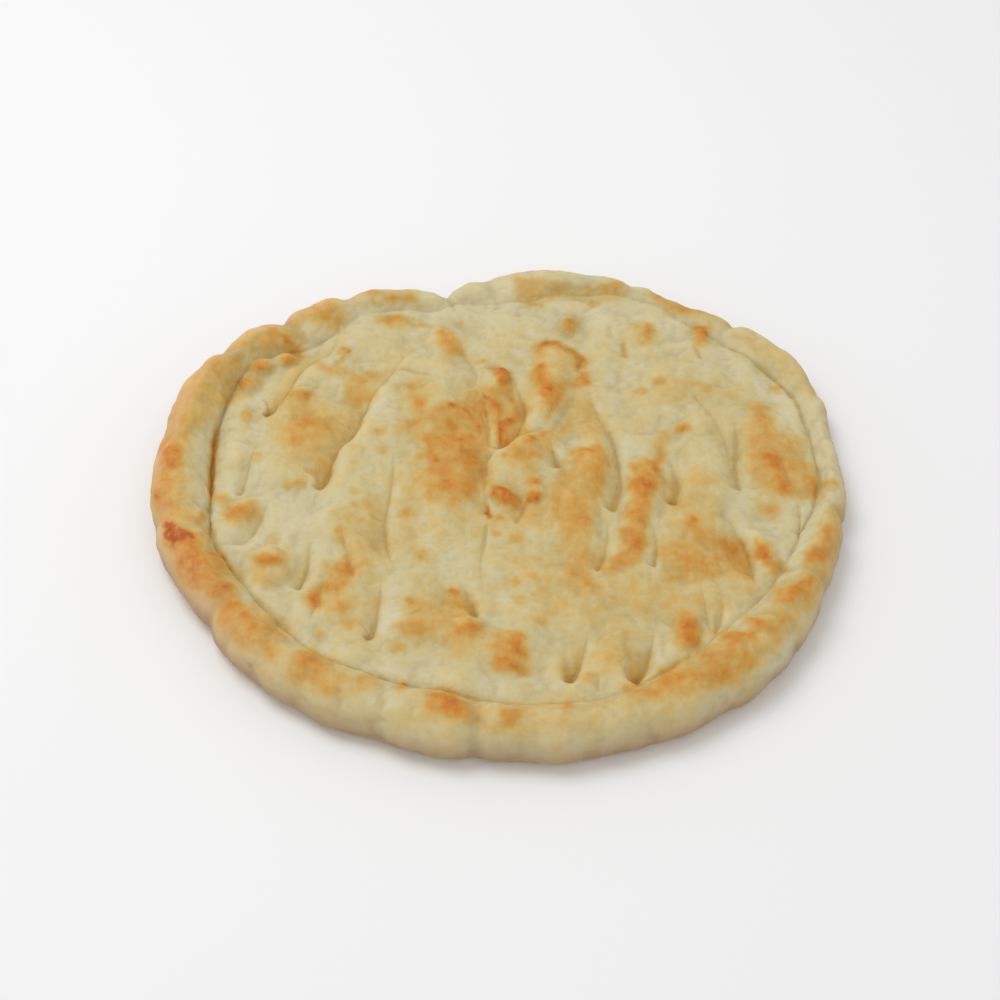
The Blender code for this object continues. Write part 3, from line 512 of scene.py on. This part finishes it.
def rounded_path(corners):
    """A path through these places with its corners cut off twice, so that it bends softly."""
    path = places(corners)
    for _ in range(2):
        starts, ends = path[:-1], path[1:]
        cut = np.stack([0.75 * starts + 0.25 * ends, 0.25 * starts + 0.75 * ends], axis=1)
        path = np.vstack([path[:1], cut.reshape(-1, 2)[1:-1], path[-1:]])
    return path


def nearest_on_path(x, y, path):
    """Distance to the path, which side of it a point is on (-1 to 1), and lengths before and after."""
    steps = np.diff(path, axis=0)
    lengths = np.linalg.norm(steps, axis=1)
    before = np.concatenate([[0], np.cumsum(lengths)])
    distance = np.full(x.shape, np.inf)
    side = np.zeros_like(x)
    done = np.zeros_like(x)
    for start, step, length, run in zip(path[:-1], steps, lengths, before):
        unit = step / length
        from_x, from_y = x - start[0], y - start[1]
        reach = np.clip(from_x * unit[0] + from_y * unit[1], 0, length)
        away = np.hypot(from_x - reach * unit[0], from_y - reach * unit[1])
        cross = (unit[0] * from_y - unit[1] * from_x) / np.maximum(away, 1e-6)
        closer = away < distance
        distance = np.where(closer, away, distance)
        side = np.where(closer, cross, side)
        done = np.where(closer, run + reach, done)
    return distance, side, done, before[-1] - done


def fold(x, y, depth, soft, steep, start, end, *corners):
    """The dip of one fold: a soft slope on one side and the bulging edge of a lobe on the other."""
    distance, side, done, left = nearest_on_path(x, y, rounded_path(corners))
    soft_here = soft * (FOLD_TIP + (1 - FOLD_TIP) * np.clip(left / soft, 0, 1) ** FOLD_POINT)
    width = soft_here + (steep - soft_here) * (0.5 + 0.5 * side)
    t = np.clip((np.hypot(distance, FOLD_FLOOR) - FOLD_FLOOR) / width, 0, 1)
    slope, bulge = (1 - t) ** 2, 1 - np.sqrt(t * (2 - t))
    bank = slope + (bulge - slope) * (0.5 + 0.5 * side)
    lip = FOLD_LIP * np.clip(side, 0, 1) * np.exp(-(((distance - steep) / steep) ** 2))
    ends = smoothstep(done / start) * smoothstep(left / end)
    return -depth * ends * (bank - lip)


def near_corners(x, y, corners, margin):
    """Which places lie in the box round the corners, widened by this margin."""
    corners = places(corners)
    low, high = corners.min(axis=0) - margin, corners.max(axis=0) + margin
    return (x > low[0]) & (x < high[0]) & (y > low[1]) & (y < high[1])


def folds_near(x, y):
    """Each fold, and which places it can change."""
    for row in FOLDS:
        _, soft, steep, _, _, *corners = row
        yield row, near_corners(x, y, corners, soft + 2 * steep)


def folds(x, y):
    """The dips of all the folds together."""
    total = np.zeros_like(x)
    for row, near in folds_near(x, y):
        total[near] += fold(x[near], y[near], *row)
    return total


def ripples(x, y):
    """Waves of a few lengths in mixed directions, which never line up."""
    draw = np.random.default_rng(RIPPLE_SEED)
    total = np.zeros_like(x)
    for wavelength, height in RIPPLES:
        for turn, phase in draw.uniform(0, 2 * np.pi, (WAVES, 2)):
            run = (x * np.cos(turn) + y * np.sin(turn)) * 2 * np.pi / wavelength
            total += height / np.sqrt(WAVES) * np.cos(run + phase)
    return total


def middle_height(x, y):
    """Height of the middle's top above the underside."""
    lobes = sum(bump(x, y, place) for place in LOBES + BLISTERS)
    return MIDDLE_HEIGHT + lobes + folds(x, y) + ripples(x, y)


def rim_numbers(angle):
    """Outer and inner radius, crest and sunk foot at each angle, with the pinches taken off."""
    pinched = pinch(angle)
    outer = around(OUTER, angle) - pinched
    crest = around(CREST, angle) - CREST_PINCH * pinched
    return outer, around(INNER, angle), crest, around(SUNK, angle)


def across_section(turn):
    """Place across the rim's section at a turn round it: 1 at its outer side, -1 at its inner."""
    across = np.cos(turn)
    return np.where(across < 0, -(np.abs(across) ** WALL_LEAN), across)


def rim_foot(angle):
    """Where the rim meets the middle at each angle: its turn round the section, radius, height."""
    outer, inner, crest, sunk = rim_numbers(angle)
    waist = WAIST * crest
    turn = np.radians(angle)
    height = middle_height(inner * np.cos(turn), inner * np.sin(turn)) - sunk
    height = np.clip(height, waist + FOOT_OVER_WAIST, crest - FOOT_UNDER_CREST)
    foot_turn = np.pi - np.arcsin((height - waist) / (crest - waist))
    radius = (outer + inner) / 2 + (outer - inner) / 2 * across_section(foot_turn)
    return foot_turn, radius, height


def plan_angle(points):
    return np.degrees(np.arctan2(points[:, 1], points[:, 0]))


def crust_points(ball):
    """The ball's points moved to the surface of the crust, in millimetres."""
    polar = np.degrees(np.arccos(np.clip(ball[:, 2], -1, 1)))
    angle = plan_angle(ball)
    cos_angle, sin_angle = np.cos(np.radians(angle)), np.sin(np.radians(angle))
    outer, inner, crest, sunk = rim_numbers(angle)
    waist = WAIST * crest
    centre, half = (outer + inner) / 2, (outer - inner) / 2
    foot_turn, foot, foot_height = rim_foot(angle)

    share = np.clip(np.sin(np.radians(polar) / 2) / np.sin(np.radians(MIDDLE_END) / 2), 0, 1)
    x, y = foot * share * cos_angle, foot * share * sin_angle
    gutter = np.exp(-(foot - foot * share) / GUTTER_WIDTH)
    top = middle_height(x, y) - sunk * gutter
    middle = np.stack([foot * share, top + (foot_height - top) * gutter**2], axis=1)

    section = np.clip((polar - MIDDLE_END) / (RIM_END - MIDDLE_END), 0, 1)
    upper = foot_turn * (1 - np.clip(section / UPPER_SHARE, 0, 1))
    lower = np.pi / 2 * np.clip((section - UPPER_SHARE) / (1 - UPPER_SHARE), 0, 1)
    push = RIM_RIPPLES * ripples(outer * cos_angle, outer * sin_angle)
    push *= smoothstep((foot_turn - upper) / RIPPLE_RISE)
    over_radius = centre + (half + push) * across_section(upper)
    over_height = waist + (crest - waist + push) * np.sin(upper)
    over = np.stack([over_radius, over_height], axis=1)
    under_radius = outer - TUCK + (TUCK + push) * np.cos(lower)
    under = np.stack([under_radius, waist * (1 - np.sin(lower))], axis=1)

    inward = np.cos(np.radians(polar) / 2) / np.cos(np.radians(RIM_END) / 2)
    base = np.stack([(outer - TUCK) * np.clip(inward, 0, 1), np.zeros_like(polar)], axis=1)

    zone = np.select([polar < MIDDLE_END, section < UPPER_SHARE, polar < RIM_END], [0, 1, 2], 3)
    radius, height = np.choose(zone[:, None], [middle, over, under, base]).T
    return np.stack([radius * cos_angle, radius * sin_angle, height], axis=1)


def fold_lines(points):
    """Distance in plan to the nearest fold, and 1 in the bottom of a deep fold, falling to 0."""
    x, y, height = points.T
    distance = np.full_like(x, FAR_AWAY)
    bottom = np.zeros_like(x)
    for row, near in folds_near(x, y):
        depth, _, _, start, end, *corners = row
        away, _, done, left = nearest_on_path(x[near], y[near], rounded_path(corners))
        ends = smoothstep(done / start) * smoothstep(left / end + FOLD_LINE_END)
        line = min(depth / DEEP_FOLD, 1) * ends * np.exp(-((away / FOLD_LINE) ** 2))
        distance[near] = np.minimum(distance[near], away)
        bottom[near] = np.maximum(bottom[near], line)
    on_top = height > TOP_FROM
    return np.where(on_top, distance, FAR_AWAY), bottom * on_top


def past_foot(points):
    """How far in plan each point lies outside the line where the rim meets the middle."""
    return np.hypot(points[:, 0], points[:, 1]) - rim_foot(plan_angle(points))[1]


def foot_distance(points):
    """Distance in plan to the line where the rim meets the middle, for the points on the top."""
    return np.where(points[:, 2] > TOP_FROM, np.abs(past_foot(points)), FAR_AWAY)


def fold_line_painted_shade(points):
    """Painted shade: 1 in the bottom of a deep fold and where the rim's foot is deeply sunk, falling to
    0.
    """
    deep = np.clip(around(SUNK, plan_angle(points)) / DEEP_FOOT, 0, 1)
    foot_line = deep * np.exp(-((foot_distance(points) / FOOT_LINE) ** 2))
    return np.maximum(fold_lines(points)[1], foot_line)


def deep_fold_painted_shade(points):
    """Painted shade: 1 in a deep fold of the top, falling to 0 up its banks."""
    dip = -folds(points[:, 0], points[:, 1])
    return np.clip(dip / DEEP_FOLD, 0, 1) * (points[:, 2] > TOP_FROM)


def on_rim(points):
    """1 on the rim, falling to 0 at its foot and 0 inside it."""
    return smoothstep(past_foot(points) / RIM_EDGE)


def low_wall_painted_shade(points):
    """Painted shade near the floor: 1 at the bottom of the rim's outer side, falling to 0 up to LOW_WALL
    and inside the rim.
    """
    return smoothstep((LOW_WALL - points[:, 2]) / LOW_WALL) * on_rim(points)


def rosy_painted_sheen(points, normals):
    """Painted sheen: 1 where the rim's left side faces outwards, towards the light, and farther up and
    round at the back left.
    """
    outwards = (points[:, :2] * normals[:, :2]).sum(axis=1) / np.hypot(*points[:, :2].T)
    back = smoothstep(points[:, 1] / ROSY_EDGE)
    left = smoothstep((ROSY_BACK * back - points[:, 0] - ROSY_FROM) / ROSY_EDGE)
    facing = outwards - ROSY_FACING + ROSY_BACK_FACING * back
    return smoothstep(facing / ROSY_FACING_EDGE) * left * on_rim(points)


def cut_finer(bm):
    """The mesh cut once more along the folds and the rim's foot, where the shape turns sharply."""
    points = crust_points(ball_points(bm))
    near = fold_lines(points)[0] < FINE_BESIDE_FOLD
    near |= foot_distance(points) < FINE_BESIDE_FOOT
    bm.verts.index_update()
    edges = [edge for edge in bm.edges if near[edge.verts[0].index] and near[edge.verts[1].index]]
    bmesh.ops.subdivide_edges(bm, edges=edges, cuts=1, use_grid_fill=True)


def ball_mesh():
    """A finely cut cube as a mesh, and its points moved out to the ball."""
    bm = bmesh.new()
    bmesh.ops.create_cube(bm, size=2)
    bmesh.ops.subdivide_edges(bm, edges=bm.edges[:], cuts=CUTS, use_grid_fill=True)
    cut_finer(bm)
    bmesh.ops.triangulate(bm, faces=bm.faces[:])
    ball = ball_points(bm)
    mesh = bpy.data.meshes.new("crust_dough")
    bm.to_mesh(mesh)
    bm.free()
    return mesh, ball


def write_points(mesh, points):
    mesh.vertices.foreach_set("co", points.astype(np.float32).ravel())
    mesh.update()


def normals_of(mesh):
    normals = np.empty(len(mesh.vertices) * 3, np.float32)
    mesh.vertex_normals.foreach_get("vector", normals)
    return normals.reshape(-1, 3).astype(float)


def edges_of(mesh):
    edges = np.empty(len(mesh.edges) * 2, np.int32)
    mesh.edges.foreach_get("vertices", edges)
    return edges.reshape(-1, 2)


def relaxed(values, edges, rounds):
    """Values at the mesh's points, averaged with their neighbours' this many times."""
    count = len(values)
    ends = np.concatenate([edges[:, 0], edges[:, 1]])
    others = np.concatenate([edges[:, 1], edges[:, 0]])
    weight = np.bincount(ends, minlength=count)
    for _ in range(rounds):
        columns = [np.bincount(ends, values[others, k], count) for k in range(values.shape[1])]
        values = 0.5 * values + 0.5 * np.stack(columns, axis=1) / weight[:, None]
    return values


def noise_at(points, size, seed):
    """Smooth noise from about -1 to 1 with grains of this size."""
    shift = Vector([seed * step for step in SEED_SHIFT])
    return np.array([noise.noise(Vector(point) / size + shift) for point in points])


def warp(points, height, size, seed):
    """How far the noise moves each place along x and along y."""
    return height * noise_at(points, size, seed), height * noise_at(points, size, seed + 2)


def patch(x, y, place):
    """A soft spot: 1 inside, falling to 0 past its edge."""
    return np.exp(-SPOT_FADE * oval(x, y, *place) ** SPOT_FADE_POWER)


def thin_line(x, y, half_width, corners):
    """1 on a line through the corners, falling to 0 beside it and at its ends."""
    distance, _, done, left = nearest_on_path(x, y, rounded_path(corners))
    end = LINE_END * (done + left)
    return smoothstep(done / end) * smoothstep(left / end) * np.exp(-((distance / half_width) ** 2))


def cover(x, y, soft, corners):
    """1 well inside a closed outline, 0 well outside, with a soft edge between them."""
    near = near_corners(x, y, corners, soft)
    near_x, near_y = x[near], y[near]
    distance = np.full(near_x.shape, np.inf)
    inside = np.zeros(near_x.shape, bool)
    for start, end in zip(places(corners), np.roll(places(corners), -1, axis=0)):
        step = end - start
        from_x, from_y = near_x - start[0], near_y - start[1]
        share = np.clip((from_x * step[0] + from_y * step[1]) / (step @ step), 0, 1)
        distance = np.minimum(distance, np.hypot(from_x - share * step[0], from_y - share * step[1]))
        crosses = (start[1] > near_y) != (end[1] > near_y)
        inside ^= crosses & (from_x < from_y * step[0] / (step[1] or 1e-9))
    total = np.zeros_like(x)
    total[near] = smoothstep(0.5 + np.where(inside, distance, -distance) / (2 * soft))
    return total


def slanted_plan(points):
    """Plan places seen along the slant at which the browning and the small relief are laid out."""
    return points + np.outer(points[:, 2] - PLAN_LEVEL, [0, PLAN_SLANT, 0])


def browning(points):
    """How browned the dough is at each point, from 0 to 1."""
    points = slanted_plan(points)
    fine_x, fine_y = warp(points, *FINE_WARP)
    loose_x, loose_y = warp(points, *LOOSE_WARP)
    x, y = points[:, 0] + fine_x, points[:, 1] + fine_y
    bare = np.ones_like(x)
    for soft, strength, *corners in BROWN_ZONES:
        loose = min(soft / LOOSE_EDGE, 1)
        covered = cover(x + loose * loose_x, y + loose * loose_y, soft, corners)
        bare *= 1 - strength / 100 * covered
    for half_width, strength, *corners in BROWN_LINES:
        bare *= 1 - strength / 100 * thin_line(points[:, 0], points[:, 1], half_width, corners)
    for *place, strength in SPOTS:
        bare *= 1 - SPOT_SHARE * strength / 100 * patch(x, y, place)
    for place in FAINT_SPOTS:
        bare *= 1 - FAINT_STRENGTH / 100 * patch(x, y, (*place, FAINT_SIZE, FAINT_SIZE, 0))
    return 1 - bare


def small_relief(points):
    """Height of the small blisters and creases above the solid's own surface."""
    x, y, _ = slanted_plan(points).T
    total = np.zeros_like(x)
    for centre_x, centre_y, half_x, half_y, turn, strength in SPOTS:
        if strength > BLISTER_FROM and max(half_x, half_y) < BLISTER_SIZE:
            reach = (BLISTER_REACH * half_x, BLISTER_REACH * half_y)
            height = BLISTER_RISE * min(half_x, half_y) * 2
            total += bump(x, y, (centre_x, centre_y, *reach, turn, height))
    for depth, half_width, *corners in CREASES:
        total -= depth * thin_line(x, y, half_width, corners)
    return total


def add_skin(mesh, points):
    """The points with the dough's fine unevenness and small relief along their normals."""
    write_points(mesh, points)
    normals = normals_of(mesh)
    skin = sum(height * noise_at(points, size, SKIN_SEED + size) for size, height in SKIN_LAYERS)
    for size, height in PUFF_LAYERS:
        puffs = np.hypot(noise_at(points, size, PUFF_SEED + size), PUFF_VALLEY)
        skin += height * (puffs - PUFF_LEVEL)
    skin += STREAK_HEIGHT * noise_at(points * [1, STREAK_STRETCH, 1], STREAK_SIZE, STREAK_SEED)
    skin *= smoothstep(points[:, 2] / SKIN_FROM)
    relief = small_relief(points) * smoothstep(normals[:, 2] / RELIEF_SLOPE)
    return points + normals * (skin + relief)[:, None]


def sunk_by(points, normals, edges, rounds):
    """How far each point lies below its neighbourhood, smoothed this many times."""
    return ((relaxed(points, edges, rounds) - points) * normals).sum(axis=1)


def make_crust():
    """The crust's object, and how far it was moved to stand centred on the origin."""
    mesh, ball = ball_mesh()
    smooth = crust_points(ball)
    points = add_skin(mesh, smooth)
    low, high = points.min(axis=0), points.max(axis=0)
    offset = np.array([(low[0] + high[0]) / 2, (low[1] + high[1]) / 2, low[2]])
    write_points(mesh, points)
    normals, edges = normals_of(mesh), edges_of(mesh)
    # The creases and hollows found here carry painted shade, and the crests painted highlight.
    creased = sunk_by(points, normals, edges, CREASE_ROUNDS) / CREASE_DEPTH
    hollowed = sunk_by(points, normals, edges, HOLLOW_ROUNDS) / HOLLOW_SPAN
    attributes = {
        "browning": browning(smooth),
        "crease": np.clip(creased, 0, 1),
        "fold_line_painted_shade": fold_line_painted_shade(smooth),
        "deep_fold_painted_shade": deep_fold_painted_shade(smooth),
        "hollow": np.clip(0.5 + hollowed, 0, 1),
        "low_wall_painted_shade": low_wall_painted_shade(points - [0, 0, offset[2]]),
        "underneath": smoothstep((-normals[:, 2] - UNDER_FACING) / UNDER_FACING_EDGE),
        "rosy_painted_sheen": rosy_painted_sheen(points, normals),
    }
    for name, values in attributes.items():
        data = mesh.attributes.new(name, "FLOAT", "POINT").data
        data.foreach_set("value", values.astype(np.float32))
    write_points(mesh, (points - offset) * MM)
    mesh.shade_smooth()
    crust = bpy.data.objects.new("crust_dough", mesh)
    bpy.context.scene.collection.objects.link(crust)
    return crust, offset


# The dough's colour from bare to dark brown: how browned it is, and the colour as it looks.
BROWNING_COLORS = (
    (0.00, (209, 199, 160)),
    (0.15, (206, 187, 131)),
    (0.30, (205, 173, 102)),
    (0.46, (203, 155, 73)),
    (0.64, (200, 134, 44)),
    (0.82, (190, 104, 22)),
    (1.00, (172, 76, 12)),
)

# Tints over the browning: the attribute that says where, its strength there, and its colour. The
# crease, fold line and low wall tints are painted shade, the rosy one is painted sheen on the side
# towards the light, and the underside's is the dough's own colour.
TINTS_AND_PAINTED_LIGHT = (
    ("crease", 0.34, (176, 150, 92)),
    ("fold_line_painted_shade", 0.4, (158, 116, 54)),
    ("rosy_painted_sheen", 0.6, (218, 168, 118)),
    ("low_wall_painted_shade", 0.92, (156, 121, 90)),
    ("underneath", 1.0, (196, 172, 126)),
)

# Each part of the colour falls by this power of the lightness, so what is darker, the painted shade too,
# is warmer.
WARMTH = {"Red": 1.0, "Green": 1.15, "Blue": 1.8}

# Noise patterns in the skin: grains per metre, detail and roughness. Along y, the streaks have
# only this share of their grains.
COARSE = (150.0, 4.0, 0.6)
FINE = (620.0, 4.0, 0.6)
STREAKS = (330.0, 3.0, 0.55)
CLOUDS = (50.0, 1.0, 0.4)
GRAIN = (1100.0, 3.0, 0.6)
PORES = (420.0, 2.0, 0.5)
STREAKS_ALONG_Y = 0.4


def srgb(red, green, blue):
    """A colour given as it looks, 0 to 255, as the linear colour that a shader takes."""
    shown = np.array([red, green, blue]) / 255
    linear = np.where(shown <= 0.04045, shown / 12.92, ((shown + 0.055) / 1.055) ** 2.4)
    return (*linear, 1.0)


def feed(node, inputs):
    """Sets a node's inputs. Each is a value, or the output of another node that it is linked to."""
    for socket, value in inputs.items():
        if isinstance(value, bpy.types.NodeSocket):
            node.id_data.links.new(value, node.inputs[socket])
        else:
            node.inputs[socket].default_value = value


def add_node(tree, kind, inputs=None, **settings):
    node = tree.nodes.new(kind)
    for name, value in settings.items():
        setattr(node, name, value)
    feed(node, inputs or {})
    return node


def math_node(tree, operation, *values):
    inputs = dict(enumerate(values))
    return add_node(tree, "ShaderNodeMath", inputs, operation=operation).outputs[0]


def add_shares(tree, total, *shares):
    """The total with a share of each value added, counted from the value's middle."""
    for value, middle, share in shares:
        from_middle = math_node(tree, "SUBTRACT", value, middle)
        total = math_node(tree, "MULTIPLY_ADD", from_middle, share, total)
    return total


def clamped(tree, value):
    return add_node(tree, "ShaderNodeClamp", {"Value": value}).outputs[0]


def attribute(tree, name):
    return add_node(tree, "ShaderNodeAttribute", attribute_name=name).outputs["Fac"]


def noise_node(tree, place, scale, detail, roughness):
    inputs = {"Vector": place, "Scale": scale, "Detail": detail, "Roughness": roughness}
    return add_node(tree, "ShaderNodeTexNoise", inputs).outputs["Fac"]


def mix_colors(tree, amount, first, second, blend="MIX"):
    inputs = {0: amount, 6: first, 7: second}
    return add_node(tree, "ShaderNodeMix", inputs, data_type="RGBA", blend_type=blend).outputs[2]


def browning_ramp(tree, brown_and_fold_shade):
    """The dough's colour for how browned it is."""
    ramp = add_node(tree, "ShaderNodeValToRGB", {"Fac": brown_and_fold_shade})
    stops = ramp.color_ramp.elements
    while len(stops) < len(BROWNING_COLORS):
        stops.new(0.5)
    for stop, (position, color) in zip(stops, BROWNING_COLORS):
        stop.position = position
        stop.color = srgb(*color)
    return ramp.outputs["Color"]


def tinted(tree, color, brown_and_fold_shade):
    """The colour with each tint laid over it, painted shade and painted sheen among them. The rosy
    painted sheen is weaker where it is browned.
    """
    for name, strength, tint in TINTS_AND_PAINTED_LIGHT:
        amount = math_node(tree, "MULTIPLY", attribute(tree, name), strength)
        if name == "rosy_painted_sheen":
            amount = math_node(tree, "MULTIPLY", amount, math_node(tree, "SUBTRACT", 1.0, brown_and_fold_shade))
        color = mix_colors(tree, amount, color, srgb(*tint))
    return color


def new_material(name):
    """A material and its shader."""
    material = bpy.data.materials.new(name)
    material.use_nodes = True
    return material, material.node_tree.nodes["Principled BSDF"]


def crust_material():
    """Baked dough: browned unevenly, with warm painted shade in its creases, hollows and folds, grainy
    and a little soft to light.
    """
    material, shader = new_material("baked_dough_skin")
    tree = material.node_tree
    place = add_node(tree, "ShaderNodeTexCoord").outputs["Object"]
    stretch = {"Vector": place, "Scale": (1, STREAKS_ALONG_Y, 1)}
    streaked = add_node(tree, "ShaderNodeMapping", stretch).outputs[0]
    streaks = noise_node(tree, streaked, *STREAKS)
    coarse, fine, clouds, grain, pores = (
        noise_node(tree, place, *pattern) for pattern in (COARSE, FINE, CLOUDS, GRAIN, PORES))
    hollow, deep = attribute(tree, "hollow"), attribute(tree, "deep_fold_painted_shade")

    # Grains and streaks break up the browning, and crests are browner. Deep folds are browner too, as
    # warm painted shade.
    mottle = add_shares(tree, 0.22, (coarse, 0, 1.0), (streaks, 0, 0.4))
    brown_and_fold_shade = math_node(tree, "MULTIPLY", attribute(tree, "browning"), mottle)
    brown_and_fold_shade = clamped(tree, add_shares(
        tree, brown_and_fold_shade, (hollow, 0.5, -0.2), (coarse, 0.42, 0.3), (fine, 0.5, 0.1), (streaks, 0.5, 0.14)))
    brown_and_fold_shade = clamped(tree, add_shares(tree, brown_and_fold_shade, (deep, 0, 0.28)))
    color = tinted(tree, browning_ramp(tree, brown_and_fold_shade), brown_and_fold_shade)

    # Clouds and grains change the lightness at random. Hollows are darkened and crests lightened, as
    # painted shade and painted highlight, and deep folds are a little lighter.
    light = add_shares(
        tree, 1.0, (hollow, 0.5, -0.17), (deep, 0, 0.06), (clouds, 0.5, 0.16), (fine, 0.5, 0.16))
    parts = {name: math_node(tree, "POWER", light, power) for name, power in WARMTH.items()}
    warmth = add_node(tree, "ShaderNodeCombineColor", parts)
    color = mix_colors(tree, 1.0, color, warmth.outputs[0], "MULTIPLY")

    height = add_shares(tree, pores, (grain, 0, 0.35))
    relief = {"Strength": 0.4, "Distance": 0.0008, "Height": height}
    feed(shader, {
        "Base Color": color,
        "Roughness": add_shares(tree, 0.72, (brown_and_fold_shade, 0, -0.25)),
        "Specular IOR Level": 0.35,
        "Subsurface Weight": 0.12,
        "Subsurface Radius": (1.0, 0.55, 0.25),
        "Subsurface Scale": 0.004,
        "Normal": add_node(tree, "ShaderNodeBump", relief).outputs["Normal"],
    })
    return material


def make_floor():
    bpy.ops.mesh.primitive_plane_add(size=6.0, location=(0, 0, 0))
    floor = bpy.context.object
    floor.name = "floor"
    material, shader = new_material("floor_white")
    feed(shader, {"Base Color": (0.93, 0.93, 0.93, 1), "Roughness": 0.9})
    floor.data.materials.append(material)


def add_area_light(name, place, size, power):
    """A round soft light that shines at the origin."""
    data = bpy.data.lights.new(name, "AREA")
    data.shape = "DISK"
    data.size = size
    data.energy = power
    light = bpy.data.objects.new(name, data)
    light.location = place
    light.rotation_mode = "QUATERNION"
    light.rotation_quaternion = (-Vector(place)).to_track_quat("-Z", "Y")
    bpy.context.scene.collection.objects.link(light)


def make_world(strength):
    world = bpy.data.worlds.new("soft_room")
    world.use_nodes = True
    feed(world.node_tree.nodes["Background"], {"Color": (1, 1, 1, 1), "Strength": strength})
    bpy.context.scene.world = world


# The camera: its aim and distance in millimetres, its height angle, and what sets its lens.
AIM = np.array([-1.35, -4.5, 10.0])
CAMERA_DISTANCE = 900.0
CAMERA_ELEVATION = 43.5
PIXELS_PER_MM = 2.30
FRAME_PIXELS = 1000
SENSOR_MM = 36.0


def make_camera(offset):
    elevation = np.radians(CAMERA_ELEVATION)
    back = np.array([0, -np.cos(elevation), np.sin(elevation)])
    data = bpy.data.cameras.new("camera")
    data.sensor_width = SENSOR_MM
    data.lens = SENSOR_MM * PIXELS_PER_MM * CAMERA_DISTANCE / FRAME_PIXELS
    data.clip_start = 0.05
    data.clip_end = 20
    camera = bpy.data.objects.new("camera", data)
    camera.location = (AIM + CAMERA_DISTANCE * back - offset) * MM
    camera.rotation_euler = (np.pi / 2 - elevation, 0, 0)
    bpy.context.scene.collection.objects.link(camera)
    bpy.context.scene.camera = camera


def make_scene():
    crust, offset = make_crust()
    crust.data.materials.append(crust_material())
    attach(crust, "root")
    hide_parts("crust")
    make_floor()
    add_area_light("key", (-0.54, 0.27, 1.36), size=0.9, power=7.5)
    make_world(strength=0.685)
    make_camera(offset)
    bpy.context.scene.view_settings.view_transform = "Standard"


make_scene()
